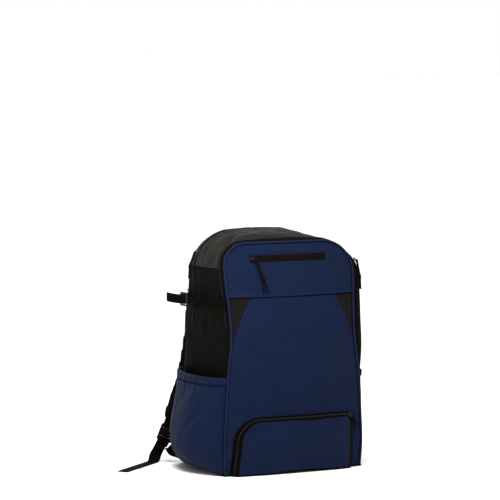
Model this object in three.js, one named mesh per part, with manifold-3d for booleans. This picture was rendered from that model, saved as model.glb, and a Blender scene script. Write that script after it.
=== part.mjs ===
// Upright sports backpack in millimetres. Its base is on z = 0 and its front faces -Y.
import * as THREE from "three";
import { mergeVertices } from "three/addons/utils/BufferGeometryUtils.js";
import Module from "manifold-3d";

const wasm = await Module();
wasm.setup();

// Cloth and seams
const CLOTH = 2;
const SEAM_GAP = 0.3;
const BASE_THICK = 3;
const FOOT = BASE_THICK + SEAM_GAP;
const BACK_PAD = 6;
const PIPE_RADIUS = 3;
const PIPE_ROOM = PIPE_RADIUS + SEAM_GAP;

// Body: height of the front and back outlines and the radius of their top corners
const FRONT_TOP = 473;
const FRONT_RADIUS = { left: 50, right: 70 };
const BACK_TOP = 486;
const BACK_RADIUS = { left: 86, right: 112 };
const FRONT_EDGE = [
  { z: 0, half: 155, y: -103, bulge: 5 },
  { z: 60, half: 158, y: -105, bulge: 12 },
  { z: 200, half: 150, y: -105, bulge: 18 },
  { z: 290, half: 141, y: -102, bulge: 18 },
  { z: 400, half: 147, y: -86, bulge: 13 },
  { z: 453, half: 149, y: -78, bulge: 6 },
  { z: 473, half: 149, y: -76, bulge: 0 },
];
const BACK_EDGE = [
  { z: 0, half: 154, y: 103 },
  { z: 200, half: 150, y: 105 },
  { z: 390, half: 141, y: 101 },
  { z: 486, half: 141, y: 92 },
];
// How far the side walls stand out beyond the straight line from front to back
const SIDE_BULGE = [
  { z: 0, left: 1, right: 1 },
  { z: 60, left: 4, right: 5 },
  { z: 143, left: 6, right: 18 },
  { z: 190, left: 6, right: 25 },
  { z: 250, left: 6, right: 40 },
  { z: 335, left: 6, right: 44 },
  { z: 415, left: 7, right: 29 },
  { z: 450, left: 7, right: 9 },
  { z: 480, left: 6, right: 0 },
];
const TOP_BULGE = 12;
const FRONT_BULGE_POWER = 2.4;

// Gusset: places of the two zips across the depth, and where the top cloth meets the side cloth
const FRONT_ZIP = { low: 0.04, high: 0.1 };
const REAR_ZIP = { low: 0.8, high: 0.86 };
const DEPTH_LINES = [0, 0.018, FRONT_ZIP.low, FRONT_ZIP.high, 0.2, 0.34, 0.5, 0.66,
  REAR_ZIP.low, REAR_ZIP.high, 0.92, 0.975, 1];
const TOP_SPLIT = 0.3;
const ZIP_END = 0.5;
const ZIP_THICK = 1.6;
const ZIP_SEAM = 0.002;

// Front panels, measured on the front view
const SEAM_HEIGHT = 364;
const INSERT_INNER = 97;
const INSERT_TIP = 272;
const INSERT_BEND = 0.28;
const SLOT = { left: -90, right: 83, low: 434, high: 448, radius: 4 };
const POD = { half: 135, top: 119, band: 13, topBand: 0.7, rise: 14, dome: 5, domeEdge: 4, domeFade: 50 };
const POD_RADIUS = { left: 50, right: 26 };
const POD_FLARE = { left: 11, right: 0 };

// Pockets on the sides
const SLEEVE = {
  low: 6, round: 56, belly: 56, mouth: 34, hem: 187, top: 202, front: 0.035, rear: 0.985,
  gathers: 9, gather: 1.4, gatherReach: 45, columns: 28, rows: 9,
};
const SIDE_POCKET = {
  low: 48, round: 60, belly: 13, mouth: 2, hem: 186, top: 200, front: 0.09, rear: 0.9,
  gathers: 0, gather: 0, gatherReach: 1, columns: 12, rows: 6,
};
const HEM_THICK = 3.4;
const POCKET_CLEAR = 0.9;
const POCKET_RIM = 0.03;

// Webbing and buckles
const STATION_STEP = 16;
const WEB = { wide: 25, thick: 1.6 };
const BAT_WEB = { wide: 19, thick: 1.6 };
const LOCK = { wide: 34, tall: 34, thick: 4, bar: 5, slot: 27, mid: 4, turn: 3.4, drop: 14 };
const GLIDE = { wide: 29, tall: 24, thick: 3.5, bar: 3, slot: 22, mid: 2.4, turn: 3.2 };
const SLOT_TAPER = 0.3;
const BEND = { inset: 1, steps: 8 };
const LOOP_CLEAR = 0.7;
const LEAD = { near: 4, far: 13, off: 0.6 };

// Strap round the left side: its run to the slide buckle, the buckle's place, and the weave through it
const STRAP_START = { z: 349, near: 0.015, far: 0.06, off: 1.6 };
const STRAP_RUN = [
  { x: -163, y: -62, z: 349 },
  { x: -178, y: -36, z: 349.5 },
  { x: -184, y: -4, z: 350 },
];
const GLIDE_AT = { x: -175, y: 55, z: 350, lean: 0.15 };
const STRAP_WEAVE = [
  { run: -30, off: -4.5 },
  { run: -20, off: -3.2 },
  { run: -12, off: -3.2 },
  { run: -8.6, off: -3.2 },
  { run: -5, off: 0 },
  { run: -1.4, off: 3.2 },
  { run: 1.5, off: 3.6 },
  { run: 9, off: 6.2 },
  { run: 16, off: 7 },
  { run: 32, off: 7 },
  { run: 48, off: 5 },
  { run: 64, off: 1 },
];
const LOOP_START = { z: 350, near: 0.985, far: 0.95, off: 1.6 };
const LOOP_RUN = { x: -162, y: 82, z: 350 };
const LOOP_WEAVE = [{ run: 17, off: -4.4 }, { run: 14, off: -3.2 }];
const LOOP_END = { run: 13.5, off: 3.2 };

// Zip sliders and their doubled cord pulls
const SLIDER = { wide: 9, long: 12, thick: 4, round: 2, seat: 0.9, lip: 1.5 };
const PULL = {
  radius: 1.3, apart: 1.9, wide: 2.6, knot: 4.2, lie: 5, tail: 3, over: 0.07, steps: 14, sides: 5, fine: 0.05,
};
const POCKET_SLIDER = { x: -84, z: 441, clear: 0.4, knotX: -70, knotZ: 402, tails: [-60, -70], tailZ: 372 };
const POD_SLIDER = {
  row: 11, clear: 0.5, over: 6, knotX: 136, knotZ: 99, lie: 8, tails: [[145, 91], [138, 78]],
};
const GUSSET_PULL = { clear: 0.9, knot: 30, tail: 56, swing: 4, lie: 6.5, off: 4.5 };
const FRONT_SLIDER_AT = 0.285;
const REAR_SLIDER_AT = -0.25;

// Shoulder pads: centre line from the yoke down, and width
const PAD = { thick: 12, edge: 3 };
const PAD_LEFT = [
  { x: -74, y: 109.2, z: 447, wide: 62 },
  { x: -79, y: 110.6, z: 433, wide: 62 },
  { x: -92, y: 127, z: 402, wide: 61 },
  { x: -102, y: 140, z: 368, wide: 60 },
  { x: -107, y: 144.5, z: 330, wide: 60 },
  { x: -112, y: 146, z: 277, wide: 58 },
  { x: -125, y: 144, z: 204, wide: 56 },
  { x: -147, y: 139, z: 139, wide: 52 },
  { x: -164, y: 135, z: 101, wide: 44 },
  { x: -170, y: 134, z: 87, wide: 34 },
];
const PAD_RIGHT = [
  { x: 74, y: 109.2, z: 447, wide: 62 },
  { x: 79, y: 110.6, z: 433, wide: 62 },
  { x: 90, y: 127, z: 402, wide: 61 },
  { x: 98, y: 140, z: 368, wide: 60 },
  { x: 102, y: 144.5, z: 330, wide: 60 },
  { x: 105, y: 146, z: 277, wide: 58 },
  { x: 108, y: 144, z: 204, wide: 56 },
  { x: 113, y: 139, z: 139, wide: 52 },
  { x: 117, y: 135, z: 101, wide: 44 },
  { x: 118, y: 134, z: 87, wide: 34 },
];

// Adjuster webbing: its line off the anchor tab, and its free tail laid on the ground
const ANCHOR_LEFT = [
  { x: -153, y: 113.3, z: 16 },
  { x: -165, y: 113.3, z: 21 },
  { x: -184, y: 118.5, z: 27 },
];
const ANCHOR_RIGHT = [
  { x: 142, y: 114, z: 16 },
  { x: 134, y: 114, z: 20 },
  { x: 127, y: 118.5, z: 24 },
];
const TAIL_LEFT = [
  { x: -204, y: 138, z: 13 },
  { x: -211, y: 132, z: 2.2 },
  { x: -222, y: 122, z: 1 },
  { x: -250, y: 99, z: 1 },
  { x: -286, y: 70, z: 1 },
  { x: -321, y: 42, z: 1 },
];
const TAIL_RIGHT = [
  { x: 121, y: 139, z: 13 },
  { x: 121.5, y: 146, z: 2.2 },
  { x: 122, y: 160, z: 1 },
  { x: 121, y: 196, z: 1 },
  { x: 116, y: 240, z: 1 },
  { x: 108, y: 272, z: 1 },
];
// Anchor tab: its sewn edge on the back view, and the end that takes the webbing
const TAB_EDGE = [{ x: 108, z: 8 }, { x: 140, z: 62 }, { x: 150, z: 56 }];
const TAB = { half: 8, low: 10, seatHeight: 60 };

// Grid steps of the curved pieces
const GRID = {
  wall: 7, slit: 3, top: 18, backRows: 13, backColumns: 3, base: 28, frontRows: 17, frontColumns: 14,
  podLeg: 11, podColumns: 10, insert: 6, pipeWall: 9, pipeCorner: 10, pipeSides: 7, pad: 14, corner: 4,
};

// Colours and finishes
const NAVY = 0x1d2643;
const NAVY_PIPE = 0x25304f;
const CHARCOAL = 0x3a3834;
const INSERT_GREY = 0x282424;
const BLACK = 0x171615;
const MESH_BLACK = 0x131313;
const STEEL = 0xb8b8b4;
const CLOTH_ROUGH = 0.85;
const CORD_ROUGH = 0.7;
const ZIP_ROUGH = 0.6;
const PLASTIC_ROUGH = 0.45;
const STEEL_ROUGH = 0.35;

const part = new THREE.Group();
part.name = "bat_bag";

function add(name, geometry, colour, roughness = CLOTH_ROUGH, metalness = 0) {
  const material = new THREE.MeshStandardMaterial({ color: colour, roughness, metalness });
  const mesh = new THREE.Mesh(geometry, material);
  mesh.name = name;
  part.add(mesh);
}

function range(count, low = 0, high = 1) {
  return Array.from({ length: count + 1 }, (_, k) => low + ((high - low) * k) / count);
}

// A smooth value of one column of a table, between its rows
function along(table, at, column, key = "z") {
  const last = table.length - 1;
  const place = Math.min(Math.max(at, table[0][key]), table[last][key]);
  let i = 0;
  while (i < last - 1 && table[i + 1][key] < place) i += 1;
  const slope = (k) => {
    const before = table[Math.max(k - 1, 0)];
    const after = table[Math.min(k + 1, last)];
    return (after[column] - before[column]) / (after[key] - before[key]);
  };
  const span = table[i + 1][key] - table[i][key];
  const s = (place - table[i][key]) / span;
  const rise = s * s * (3 - 2 * s);
  const start = s * (1 - s) * (1 - s) * span * slope(i);
  const end = s * s * (s - 1) * span * slope(i + 1);
  return table[i][column] * (1 - rise) + table[i + 1][column] * rise + start + end;
}

function smooth(s) {
  const c = Math.min(Math.max(s, 0), 1);
  return c * c * (3 - 2 * c);
}

// A closed mesh from points and triangles, turned so that its faces look outwards
function solid(points, triangles) {
  const volume = triangles.reduce((sum, [a, b, c]) => {
    const cross = new THREE.Vector3().crossVectors(points[b], points[c]);
    return sum + points[a].dot(cross);
  }, 0);
  const order = volume < 0 ? triangles.map(([a, b, c]) => [a, c, b]) : triangles;
  const geometry = new THREE.BufferGeometry();
  geometry.setAttribute("position", new THREE.Float32BufferAttribute(points.flatMap((p) => p.toArray()), 3));
  geometry.setIndex(order.flat());
  return mergeVertices(geometry);
}

// A sheet of cloth: a grid of points on one face, lifted to the other, with some cells left out.
// The lift's direction at the sheet's rim is taken a little way inside it.
function sheet(us, vs, place, lift, keep = () => true, inside = 0) {
  const points = [];
  const triangles = [];
  const index = new Map();
  const step = 1e-3;
  const corner = (i, j, side) => {
    const key = `${i},${j},${side}`;
    if (!index.has(key)) {
      const at = place(us[i], vs[j]);
      const u = THREE.MathUtils.clamp(us[i], us[0] + inside, us.at(-1) - inside);
      const v = THREE.MathUtils.clamp(vs[j], vs[0] + inside, vs.at(-1) - inside);
      const du = place(Math.min(u + step, us.at(-1)), v).sub(place(Math.max(u - step, us[0]), v));
      const dv = place(u, Math.min(v + step, vs.at(-1))).sub(place(u, Math.max(v - step, vs[0])));
      const normal = new THREE.Vector3().crossVectors(du, dv).normalize();
      index.set(key, points.length);
      points.push(side ? lift(at, normal) : at);
    }
    return index.get(key);
  };
  const kept = (i, j) => i >= 0 && j >= 0 && i < us.length - 1 && j < vs.length - 1 && keep(i, j);
  for (let i = 0; i < us.length - 1; i += 1) {
    for (let j = 0; j < vs.length - 1; j += 1) {
      if (!kept(i, j)) continue;
      const ring = [[i, j], [i + 1, j], [i + 1, j + 1], [i, j + 1]];
      const beyond = [[i, j - 1], [i + 1, j], [i, j + 1], [i - 1, j]];
      const top = ring.map(([a, b]) => corner(a, b, 1));
      const low = ring.map(([a, b]) => corner(a, b, 0));
      triangles.push([top[0], top[1], top[2]], [top[0], top[2], top[3]]);
      triangles.push([low[0], low[2], low[1]], [low[0], low[3], low[2]]);
      beyond.forEach(([a, b], k) => {
        const next = (k + 1) % 4;
        if (!kept(a, b)) triangles.push([top[next], top[k], low[k]], [top[next], low[k], low[next]]);
      });
    }
  }
  return solid(points, triangles);
}

// A bar of one section carried along stations, each with a centre and two directions
function sweep(stations, section) {
  const points = [];
  const triangles = [];
  const count = section(0).length;
  stations.forEach(({ centre, across, out }, i) => {
    section(i).forEach(([a, n]) => {
      points.push(centre.clone().addScaledVector(across, a).addScaledVector(out, n));
    });
  });
  for (let i = 0; i < stations.length - 1; i += 1) {
    for (let k = 0; k < count; k += 1) {
      const next = (k + 1) % count;
      const a = i * count + k;
      const b = i * count + next;
      triangles.push([a, b, b + count], [a, b + count, a + count]);
    }
  }
  const end = (stations.length - 1) * count;
  for (let k = 1; k < count - 1; k += 1) {
    triangles.push([0, k + 1, k], [end, end + k, end + k + 1]);
  }
  return solid(points, triangles);
}

// Stations down a smooth line, with the width held near one direction
function stationsOn(points, places, widthAt) {
  const curve = new THREE.CatmullRomCurve3(points, false, "centripetal");
  return places.map((s) => {
    const centre = curve.getPoint(s);
    const tangent = curve.getTangent(s);
    const across = widthAt(s, tangent).clone();
    across.addScaledVector(tangent, -across.dot(tangent)).normalize();
    const out = new THREE.Vector3().crossVectors(tangent, across);
    return { centre, across, out };
  });
}

// Flat webbing along a line of points, with more stations where the points are far apart
function ribbon(points, web, widthAt) {
  const w = web.wide / 2;
  const t = web.thick / 2;
  const spans = points.length - 1;
  const places = points.slice(1).flatMap((p, i) => {
    const steps = Math.ceil(p.distanceTo(points[i]) / STATION_STEP);
    return range(steps).slice(0, -1).map((k) => (i + k) / spans);
  });
  return sweep(stationsOn(points, [...places, 1], widthAt), () => [[-w, -t], [w, -t], [w, t], [-w, t]]);
}

function flatPoints(pairs) {
  return pairs.map(([x, z]) => new THREE.Vector2(x, z));
}

function ringPoints(radius, sides) {
  return range(sides - 1, 0, 1 - 1 / sides).map((s) => {
    const angle = 2 * Math.PI * s;
    return [radius * Math.cos(angle), radius * Math.sin(angle)];
  });
}

function spot({ x, y, z }) {
  return new THREE.Vector3(x, y, z);
}

function middleOf(points) {
  return points.reduce((sum, p) => sum.addScaledVector(p, 1 / points.length), new THREE.Vector3());
}

// A round cord along a smooth line
function cord(points, steps, radius, sides) {
  const ring = new THREE.Shape(flatPoints(ringPoints(radius, sides)));
  const extrudePath = new THREE.CatmullRomCurve3(points, false, "centripetal");
  return new THREE.ExtrudeGeometry(ring, { steps, extrudePath, bevelEnabled: false });
}

function toManifold(geometry) {
  const bare = geometry.clone();
  bare.deleteAttribute("normal");
  bare.deleteAttribute("uv");
  const merged = mergeVertices(bare);
  const vertProperties = new Float32Array(merged.attributes.position.array);
  const triVerts = new Uint32Array(merged.index.array);
  return new wasm.Manifold(new wasm.Mesh({ numProp: 3, vertProperties, triVerts }));
}

function fromManifold(body) {
  const mesh = body.getMesh();
  const geometry = new THREE.BufferGeometry();
  geometry.setAttribute("position", new THREE.BufferAttribute(new Float32Array(mesh.vertProperties), 3));
  geometry.setIndex(new THREE.BufferAttribute(new Uint32Array(mesh.triVerts), 1));
  return geometry;
}

// Outlines of the front and back panels

// t runs from the left foot (-1) over the top (0) to the right foot (1)
function archPoint(edge, top, radius, t, inset = 0) {
  const wall = top - radius - FOOT;
  const arc = (Math.PI / 2) * radius;
  const crown = along(edge, top, "half") - radius;
  const s = (1 - Math.abs(t)) * archLength(edge, top, radius);
  const turn = Math.min(Math.max((s - wall) / radius, 0), Math.PI / 2);
  const round = radius - inset;
  const z = s < wall ? FOOT + s : top - radius + round * Math.sin(turn);
  const level = s > wall + arc ? (s - wall - arc) / crown : 0;
  const reach = along(edge, z, "half") - radius + round * Math.cos(turn);
  return new THREE.Vector3(Math.sign(t) * reach * (1 - level), along(edge, z, "y"), z);
}

function archLength(edge, top, radius) {
  return top - radius - FOOT + (Math.PI / 2) * radius + along(edge, top, "half") - radius;
}

// Where the corner ends and the level top starts
function cornerEnd(edge, top, radius) {
  return (along(edge, top, "half") - radius) / archLength(edge, top, radius);
}

function frontRadius(x) {
  return x < 0 ? FRONT_RADIUS.left : FRONT_RADIUS.right;
}

function frontArch(t, inset = 0) {
  return archPoint(FRONT_EDGE, FRONT_TOP, frontRadius(t), t, inset);
}

function backRadius(x) {
  return x < 0 ? BACK_RADIUS.left : BACK_RADIUS.right;
}

function backArch(t, inset = 0) {
  return archPoint(BACK_EDGE, BACK_TOP, backRadius(t), t, inset);
}

// Half width of the front panel at a height, inside the piping
function frontReach(x, z) {
  const radius = frontRadius(x);
  const above = Math.max(z - (FRONT_TOP - radius), 0);
  const round = radius - PIPE_ROOM;
  const arc = Math.sqrt(Math.max(round * round - above * above, 0));
  return along(FRONT_EDGE, z, "half") - radius + arc;
}

function frontDepth(x, z) {
  const ratio = Math.min(Math.abs(x) / frontReach(x, z), 1);
  const bulge = along(FRONT_EDGE, z, "bulge") * (1 - ratio ** FRONT_BULGE_POWER);
  return along(FRONT_EDGE, z, "y") - bulge;
}

// Gusset: the band that joins the front outline to the back outline

function gussetFlat(t, w) {
  const front = frontArch(t);
  const back = backArch(t);
  const depth = back.y - front.y;
  front.lerp(back, PIPE_ROOM / depth);
  back.y -= SEAM_GAP;
  return front.lerp(back, w);
}

function sideBulge(t, z) {
  const side = along(SIDE_BULGE, z, t < 0 ? "left" : "right");
  const blend = smooth(Math.abs(t) / TOP_SPLIT);
  return TOP_BULGE * (1 - blend) + side * blend;
}

function gusset(t, w) {
  const step = 2e-3;
  const at = gussetFlat(t, w);
  const tangent = gussetFlat(Math.min(t + step, 1), w).sub(gussetFlat(Math.max(t - step, -1), w));
  const out = new THREE.Vector3(-tangent.z, 0, tangent.x).normalize();
  const pillow = 2 * Math.sqrt(Math.max(w * (1 - w), 0));
  return at.addScaledVector(out, sideBulge(t, at.z) * pillow);
}

const inward = (thick) => (at, normal) => at.clone().addScaledVector(normal, -thick);
const outward = (thick) => (at, normal) => at.clone().addScaledVector(normal, thick);
const behind = (thick) => (at) => at.clone().add(new THREE.Vector3(0, thick, 0));

const sideRows = [...range(GRID.wall, 1, ZIP_END), ...range(GRID.slit, ZIP_END, TOP_SPLIT).slice(1)];
const inSlit = (w) => [FRONT_ZIP, REAR_ZIP].some((zip) => w > zip.low && w < zip.high);
for (const [name, end] of [["left", -1], ["right", 1]]) {
  const rows = sideRows.map((t) => t * end).sort((a, b) => a - b);
  const open = (i, j) => {
    const t = Math.abs(rows[i] + rows[i + 1]) / 2;
    const w = (DEPTH_LINES[j] + DEPTH_LINES[j + 1]) / 2;
    return !(t < ZIP_END && inSlit(w));
  };
  add(`side_panel_${name}`, sheet(rows, DEPTH_LINES, gusset, inward(CLOTH), open), BLACK);
}

const topRows = range(GRID.top, -TOP_SPLIT + ZIP_SEAM, TOP_SPLIT - ZIP_SEAM);
const strips = [
  ["front", 0, FRONT_ZIP.low], ["middle", FRONT_ZIP.high, REAR_ZIP.low], ["rear", REAR_ZIP.high, 1],
];
for (const [name, low, high] of strips) {
  const lines = DEPTH_LINES.filter((w) => w >= low && w <= high);
  add(`top_panel_${name}`, sheet(topRows, lines, gusset, inward(CLOTH)), CHARCOAL);
}

const slitRows = [ZIP_END - ZIP_SEAM, ...sideRows.slice(GRID.wall + 1)];
const zipRows = [...slitRows.map((t) => -t), ...topRows.slice(1, -1), ...slitRows.toReversed()];
for (const [name, zip] of [["front", FRONT_ZIP], ["rear", REAR_ZIP]]) {
  const lines = [zip.low + ZIP_SEAM, zip.high - ZIP_SEAM];
  add(`${name}_zip`, sheet(zipRows, lines, gusset, inward(ZIP_THICK)), BLACK);
}

// Back panel and base

function backFace(share, row) {
  const [left, right] = [-1, 1].map((side) => {
    const end = cornerEnd(BACK_EDGE, BACK_TOP, backRadius(side));
    return backArch(side * (1 + (end - 1) * row));
  });
  return left.lerp(right, share);
}
add("back_panel", sheet(range(GRID.backColumns), range(GRID.backRows), backFace, behind(BACK_PAD)), BLACK);

const podRadius = (x) => (x < 0 ? POD_RADIUS.left : POD_RADIUS.right);

// How far a leg of the lower pocket leans out towards its foot
function podLean(x, z) {
  return (x < 0 ? POD_FLARE.left : POD_FLARE.right) * Math.max(1 - z / POD.top, 0);
}

function podReach(x, z) {
  const radius = podRadius(x);
  const above = Math.max(z - (POD.top - radius), 0);
  return POD.half - radius + Math.sqrt(Math.max(radius ** 2 - above ** 2, 0)) + podLean(x, z);
}

const baseOutline = [];
for (const x of range(GRID.base, -1, 1)) {
  const at = x * (along(FRONT_EDGE, FOOT, "half") - PIPE_ROOM);
  const raised = smooth((podReach(at, FOOT) - Math.abs(at)) / POD.band) * POD.rise;
  baseOutline.push(new THREE.Vector2(at, frontDepth(at, FOOT) - raised - SEAM_GAP));
}
const footBack = backArch(1);
const footFront = frontArch(1);
baseOutline.push(new THREE.Vector2(footFront.x + PIPE_RADIUS, footFront.y));
baseOutline.push(new THREE.Vector2(footBack.x, footBack.y + BACK_PAD));
baseOutline.push(new THREE.Vector2(-footBack.x, footBack.y + BACK_PAD));
baseOutline.push(new THREE.Vector2(-footFront.x - PIPE_RADIUS, footFront.y));
const baseShape = new THREE.Shape(baseOutline);
add("base_panel", new THREE.ExtrudeGeometry(baseShape, { depth: BASE_THICK, bevelEnabled: false }), BLACK);

// Front panels, cut out of one bulging sheet

function frontFace(x, row) {
  const [left, right] = [-1, 1].map((side) => {
    const end = cornerEnd(FRONT_EDGE, FRONT_TOP, frontRadius(side));
    return frontArch(side * (1 + (end - 1) * row), PIPE_ROOM);
  });
  const at = left.lerp(right, (x + 1) / 2);
  at.y = frontDepth(at.x, at.z);
  return at;
}

// A block standing right through the front, with an outline given on the front view
function frontCutter(outline) {
  const reachIn = 60;
  const reachOut = 200;
  const block = new THREE.ExtrudeGeometry(new THREE.Shape(outline), { depth: reachOut, bevelEnabled: false });
  return toManifold(block.rotateX(Math.PI / 2).translate(0, reachIn - reachOut / 2, 0));
}

function roundedBox({ left, right, low, high, radius }, grow) {
  const corners = [
    [right - radius, high - radius, 0], [left + radius, high - radius, 1],
    [left + radius, low + radius, 2], [right - radius, low + radius, 3],
  ];
  return flatPoints(corners.flatMap(([x, z, quarter]) => range(GRID.corner).map((s) => {
    const angle = (Math.PI / 2) * (quarter + s);
    return [x + (radius + grow) * Math.cos(angle), z + (radius + grow) * Math.sin(angle)];
  })));
}

// The lower pocket's outline as points from its left foot over the top to its right foot
function podOutline(t, inset) {
  const radius = podRadius(t);
  const wall = POD.top - radius - FOOT;
  const arc = (Math.PI / 2) * radius;
  const crown = POD.half - radius;
  const s = (1 - Math.abs(t)) * (wall + arc + crown);
  const turn = Math.min(Math.max((s - wall) / radius, 0), Math.PI / 2);
  const round = radius - inset;
  const upper = radius - inset * POD.topBand;
  const z = s < wall ? FOOT + s : POD.top - radius + upper * Math.sin(turn);
  const level = s > wall + arc ? (s - wall - arc) / crown : 0;
  return [Math.sign(t) * (crown + round * Math.cos(turn) + podLean(t, z)) * (1 - level), z];
}

// The lower pocket's rows: up one leg and round its corner, then over the level top
function podLeg(side) {
  const radius = podRadius(side);
  const crown = POD.half - radius;
  const bent = POD.top - radius - FOOT + (Math.PI / 2) * radius;
  return range(GRID.podLeg, side, (side * crown) / (bent + crown));
}
const podLegs = [podLeg(-1), podLeg(1)];
const podRows = [
  ...podLegs[0], podLegs[0].at(-1) / 3, podLegs[1].at(-1) / 3, ...podLegs[1].toReversed(),
];

// The curved edge between the shield and its dark corner insert, from the seam down to the tip
function insertEdge(side, shift) {
  const wide = along(FRONT_EDGE, INSERT_TIP, "half") - PIPE_ROOM - INSERT_INNER;
  return range(GRID.insert).map((s) => {
    const x = INSERT_INNER + wide * (s + INSERT_BEND * s * (1 - s));
    return [side * (x + shift), SEAM_HEIGHT + (INSERT_TIP - SEAM_HEIGHT) * s];
  });
}

const FAR = 220;
const HALF_SEAM = SEAM_GAP / 2;
const frontColumns = range(GRID.frontColumns, -1, 1);
const front = toManifold(sheet(frontColumns, range(GRID.frontRows), frontFace, behind(CLOTH)));
const upperBlock = frontCutter(flatPoints([
  [-FAR, SEAM_HEIGHT + HALF_SEAM], [FAR, SEAM_HEIGHT + HALF_SEAM],
  [FAR, FRONT_TOP + FAR], [-FAR, FRONT_TOP + FAR],
]));
const upper = front.intersect(upperBlock);
add("front_panel_upper", fromManifold(upper.subtract(frontCutter(roundedBox(SLOT, SEAM_GAP)))), NAVY);
add("pocket_zip", fromManifold(upper.intersect(frontCutter(roundedBox(SLOT, 0)))), BLACK, ZIP_ROUGH);

const shieldOutline = flatPoints([
  [-FAR, -FAR], [FAR, -FAR], [FAR, INSERT_TIP - SEAM_GAP], ...insertEdge(1, -HALF_SEAM).reverse(),
  ...insertEdge(-1, -HALF_SEAM), [-FAR, INSERT_TIP - SEAM_GAP],
].map(([x, z]) => [x, z === SEAM_HEIGHT ? z - HALF_SEAM : z]));
const podEdge = podRows.toReversed().map((t) => podOutline(t, -SEAM_GAP));
const podHole = [[podEdge.at(-1)[0], -FAR], [podEdge[0][0], -FAR], ...podEdge];
const shield = front.intersect(frontCutter(shieldOutline)).subtract(frontCutter(flatPoints(podHole)));
add("front_panel_shield", fromManifold(shield), NAVY);
for (const [name, side] of [["left", -1], ["right", 1]]) {
  const edge = insertEdge(side, HALF_SEAM).map(([x, z]) => [x, Math.min(z, SEAM_HEIGHT - HALF_SEAM)]);
  const outline = flatPoints([...edge, [side * FAR, INSERT_TIP], [side * FAR, SEAM_HEIGHT - HALF_SEAM]]);
  add(`front_insert_${name}`, fromManifold(front.intersect(frontCutter(outline))), INSERT_GREY);
}

function halfPipe(side) {
  const radius = frontRadius(side);
  const wall = 1 - (FRONT_TOP - radius - FOOT) / archLength(FRONT_EDGE, FRONT_TOP, radius);
  const crown = cornerEnd(FRONT_EDGE, FRONT_TOP, radius);
  const leg = [...range(GRID.pipeWall, 1, wall).slice(0, -1), ...range(GRID.pipeCorner, wall, crown)];
  return [...leg, crown / 2].map((t) => side * t);
}

const pipeStations = [...halfPipe(-1), ...halfPipe(1).toReversed()].map((t, k, all) => {
  const centre = frontArch(t);
  const ahead = frontArch(all[Math.min(k + 1, all.length - 1)]);
  const tangent = ahead.sub(frontArch(all[Math.max(k - 1, 0)])).normalize();
  const across = new THREE.Vector3(0, 1, 0).addScaledVector(tangent, -tangent.y).normalize();
  return { centre, across, out: new THREE.Vector3().crossVectors(tangent, across) };
});
add("front_piping", sweep(pipeStations, () => ringPoints(PIPE_RADIUS, GRID.pipeSides)), NAVY_PIPE);

// Lower pocket: a raised panel with the zip as a sloping wall round it

function podBand(t, v) {
  const [x, z] = podOutline(t, POD.band * (1 - v));
  return new THREE.Vector3(x, frontDepth(x, z) - POD.rise * (1 - v), z);
}
add("lower_pocket_zip", sheet(podRows, [0, 0.5, 1], podBand, behind(CLOTH)), BLACK, ZIP_ROUGH);

function podPanelDepth(x, z) {
  const share = Math.min(Math.abs(x) / (podReach(x, z) - POD.band), 1);
  const dome = POD.dome * (1 - share ** POD.domeEdge) * smooth((POD.top - POD.band - z) / POD.domeFade);
  return frontDepth(x, z) - POD.rise - dome;
}

function podPanel(share, row) {
  const [left, right] = podLegs.map((leg) => podOutline(leg[row], POD.band + SEAM_GAP));
  const x = left[0] + (right[0] - left[0]) * share;
  const z = left[1] + (right[1] - left[1]) * share;
  return new THREE.Vector3(x, podPanelDepth(x, z), z);
}
const podPanelRows = podLegs[0].map((_, row) => row);
add("lower_pocket_panel", sheet(range(GRID.podColumns), podPanelRows, podPanel, behind(CLOTH)), NAVY);

// Side pockets: a sheet that leaves the side wall, bellies out and ends in a hem band

function wallPoint(side, z, v) {
  const column = side < 0 ? "left" : "right";
  const pillow = 2 * Math.sqrt(Math.max(v * (1 - v), 0));
  const half = along(FRONT_EDGE, z, "half") * (1 - v) + along(BACK_EDGE, z, "half") * v;
  const y = (along(FRONT_EDGE, z, "y") + PIPE_ROOM) * (1 - v) + (along(BACK_EDGE, z, "y") - SEAM_GAP) * v;
  return new THREE.Vector3(side * (half + along(SIDE_BULGE, z, column) * pillow), y, z);
}

function pocketPoint(side, pocket, v, s) {
  const tall = pocket.top - pocket.low;
  const straight = tall - pocket.round;
  const arc = (Math.PI / 2) * pocket.round;
  const run = s * (arc + straight);
  const turn = Math.min(run / pocket.round, Math.PI / 2);
  const above = Math.max(run - arc, 0);
  const z = pocket.low + pocket.round * (1 - Math.cos(turn)) + above;
  const full = pocket.belly + (pocket.mouth - pocket.belly) * smooth(above / straight);
  const near = smooth(1 - Math.abs(z - pocket.hem) / pocket.gatherReach);
  const ripple = pocket.gather * near * Math.cos(2 * Math.PI * pocket.gathers * v);
  const share = (v - pocket.front) / (pocket.rear - pocket.front);
  const pillow = 2 * Math.sqrt(Math.max(share * (1 - share), 0));
  const at = wallPoint(side, z, v);
  at.x += side * (POCKET_CLEAR + (full * Math.sin(turn) + ripple) * pillow);
  return at;
}

function rowAt(pocket, z) {
  const arc = (Math.PI / 2) * pocket.round;
  const straight = pocket.top - pocket.low - pocket.round;
  return (arc + z - pocket.low - pocket.round) / (arc + straight);
}

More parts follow.
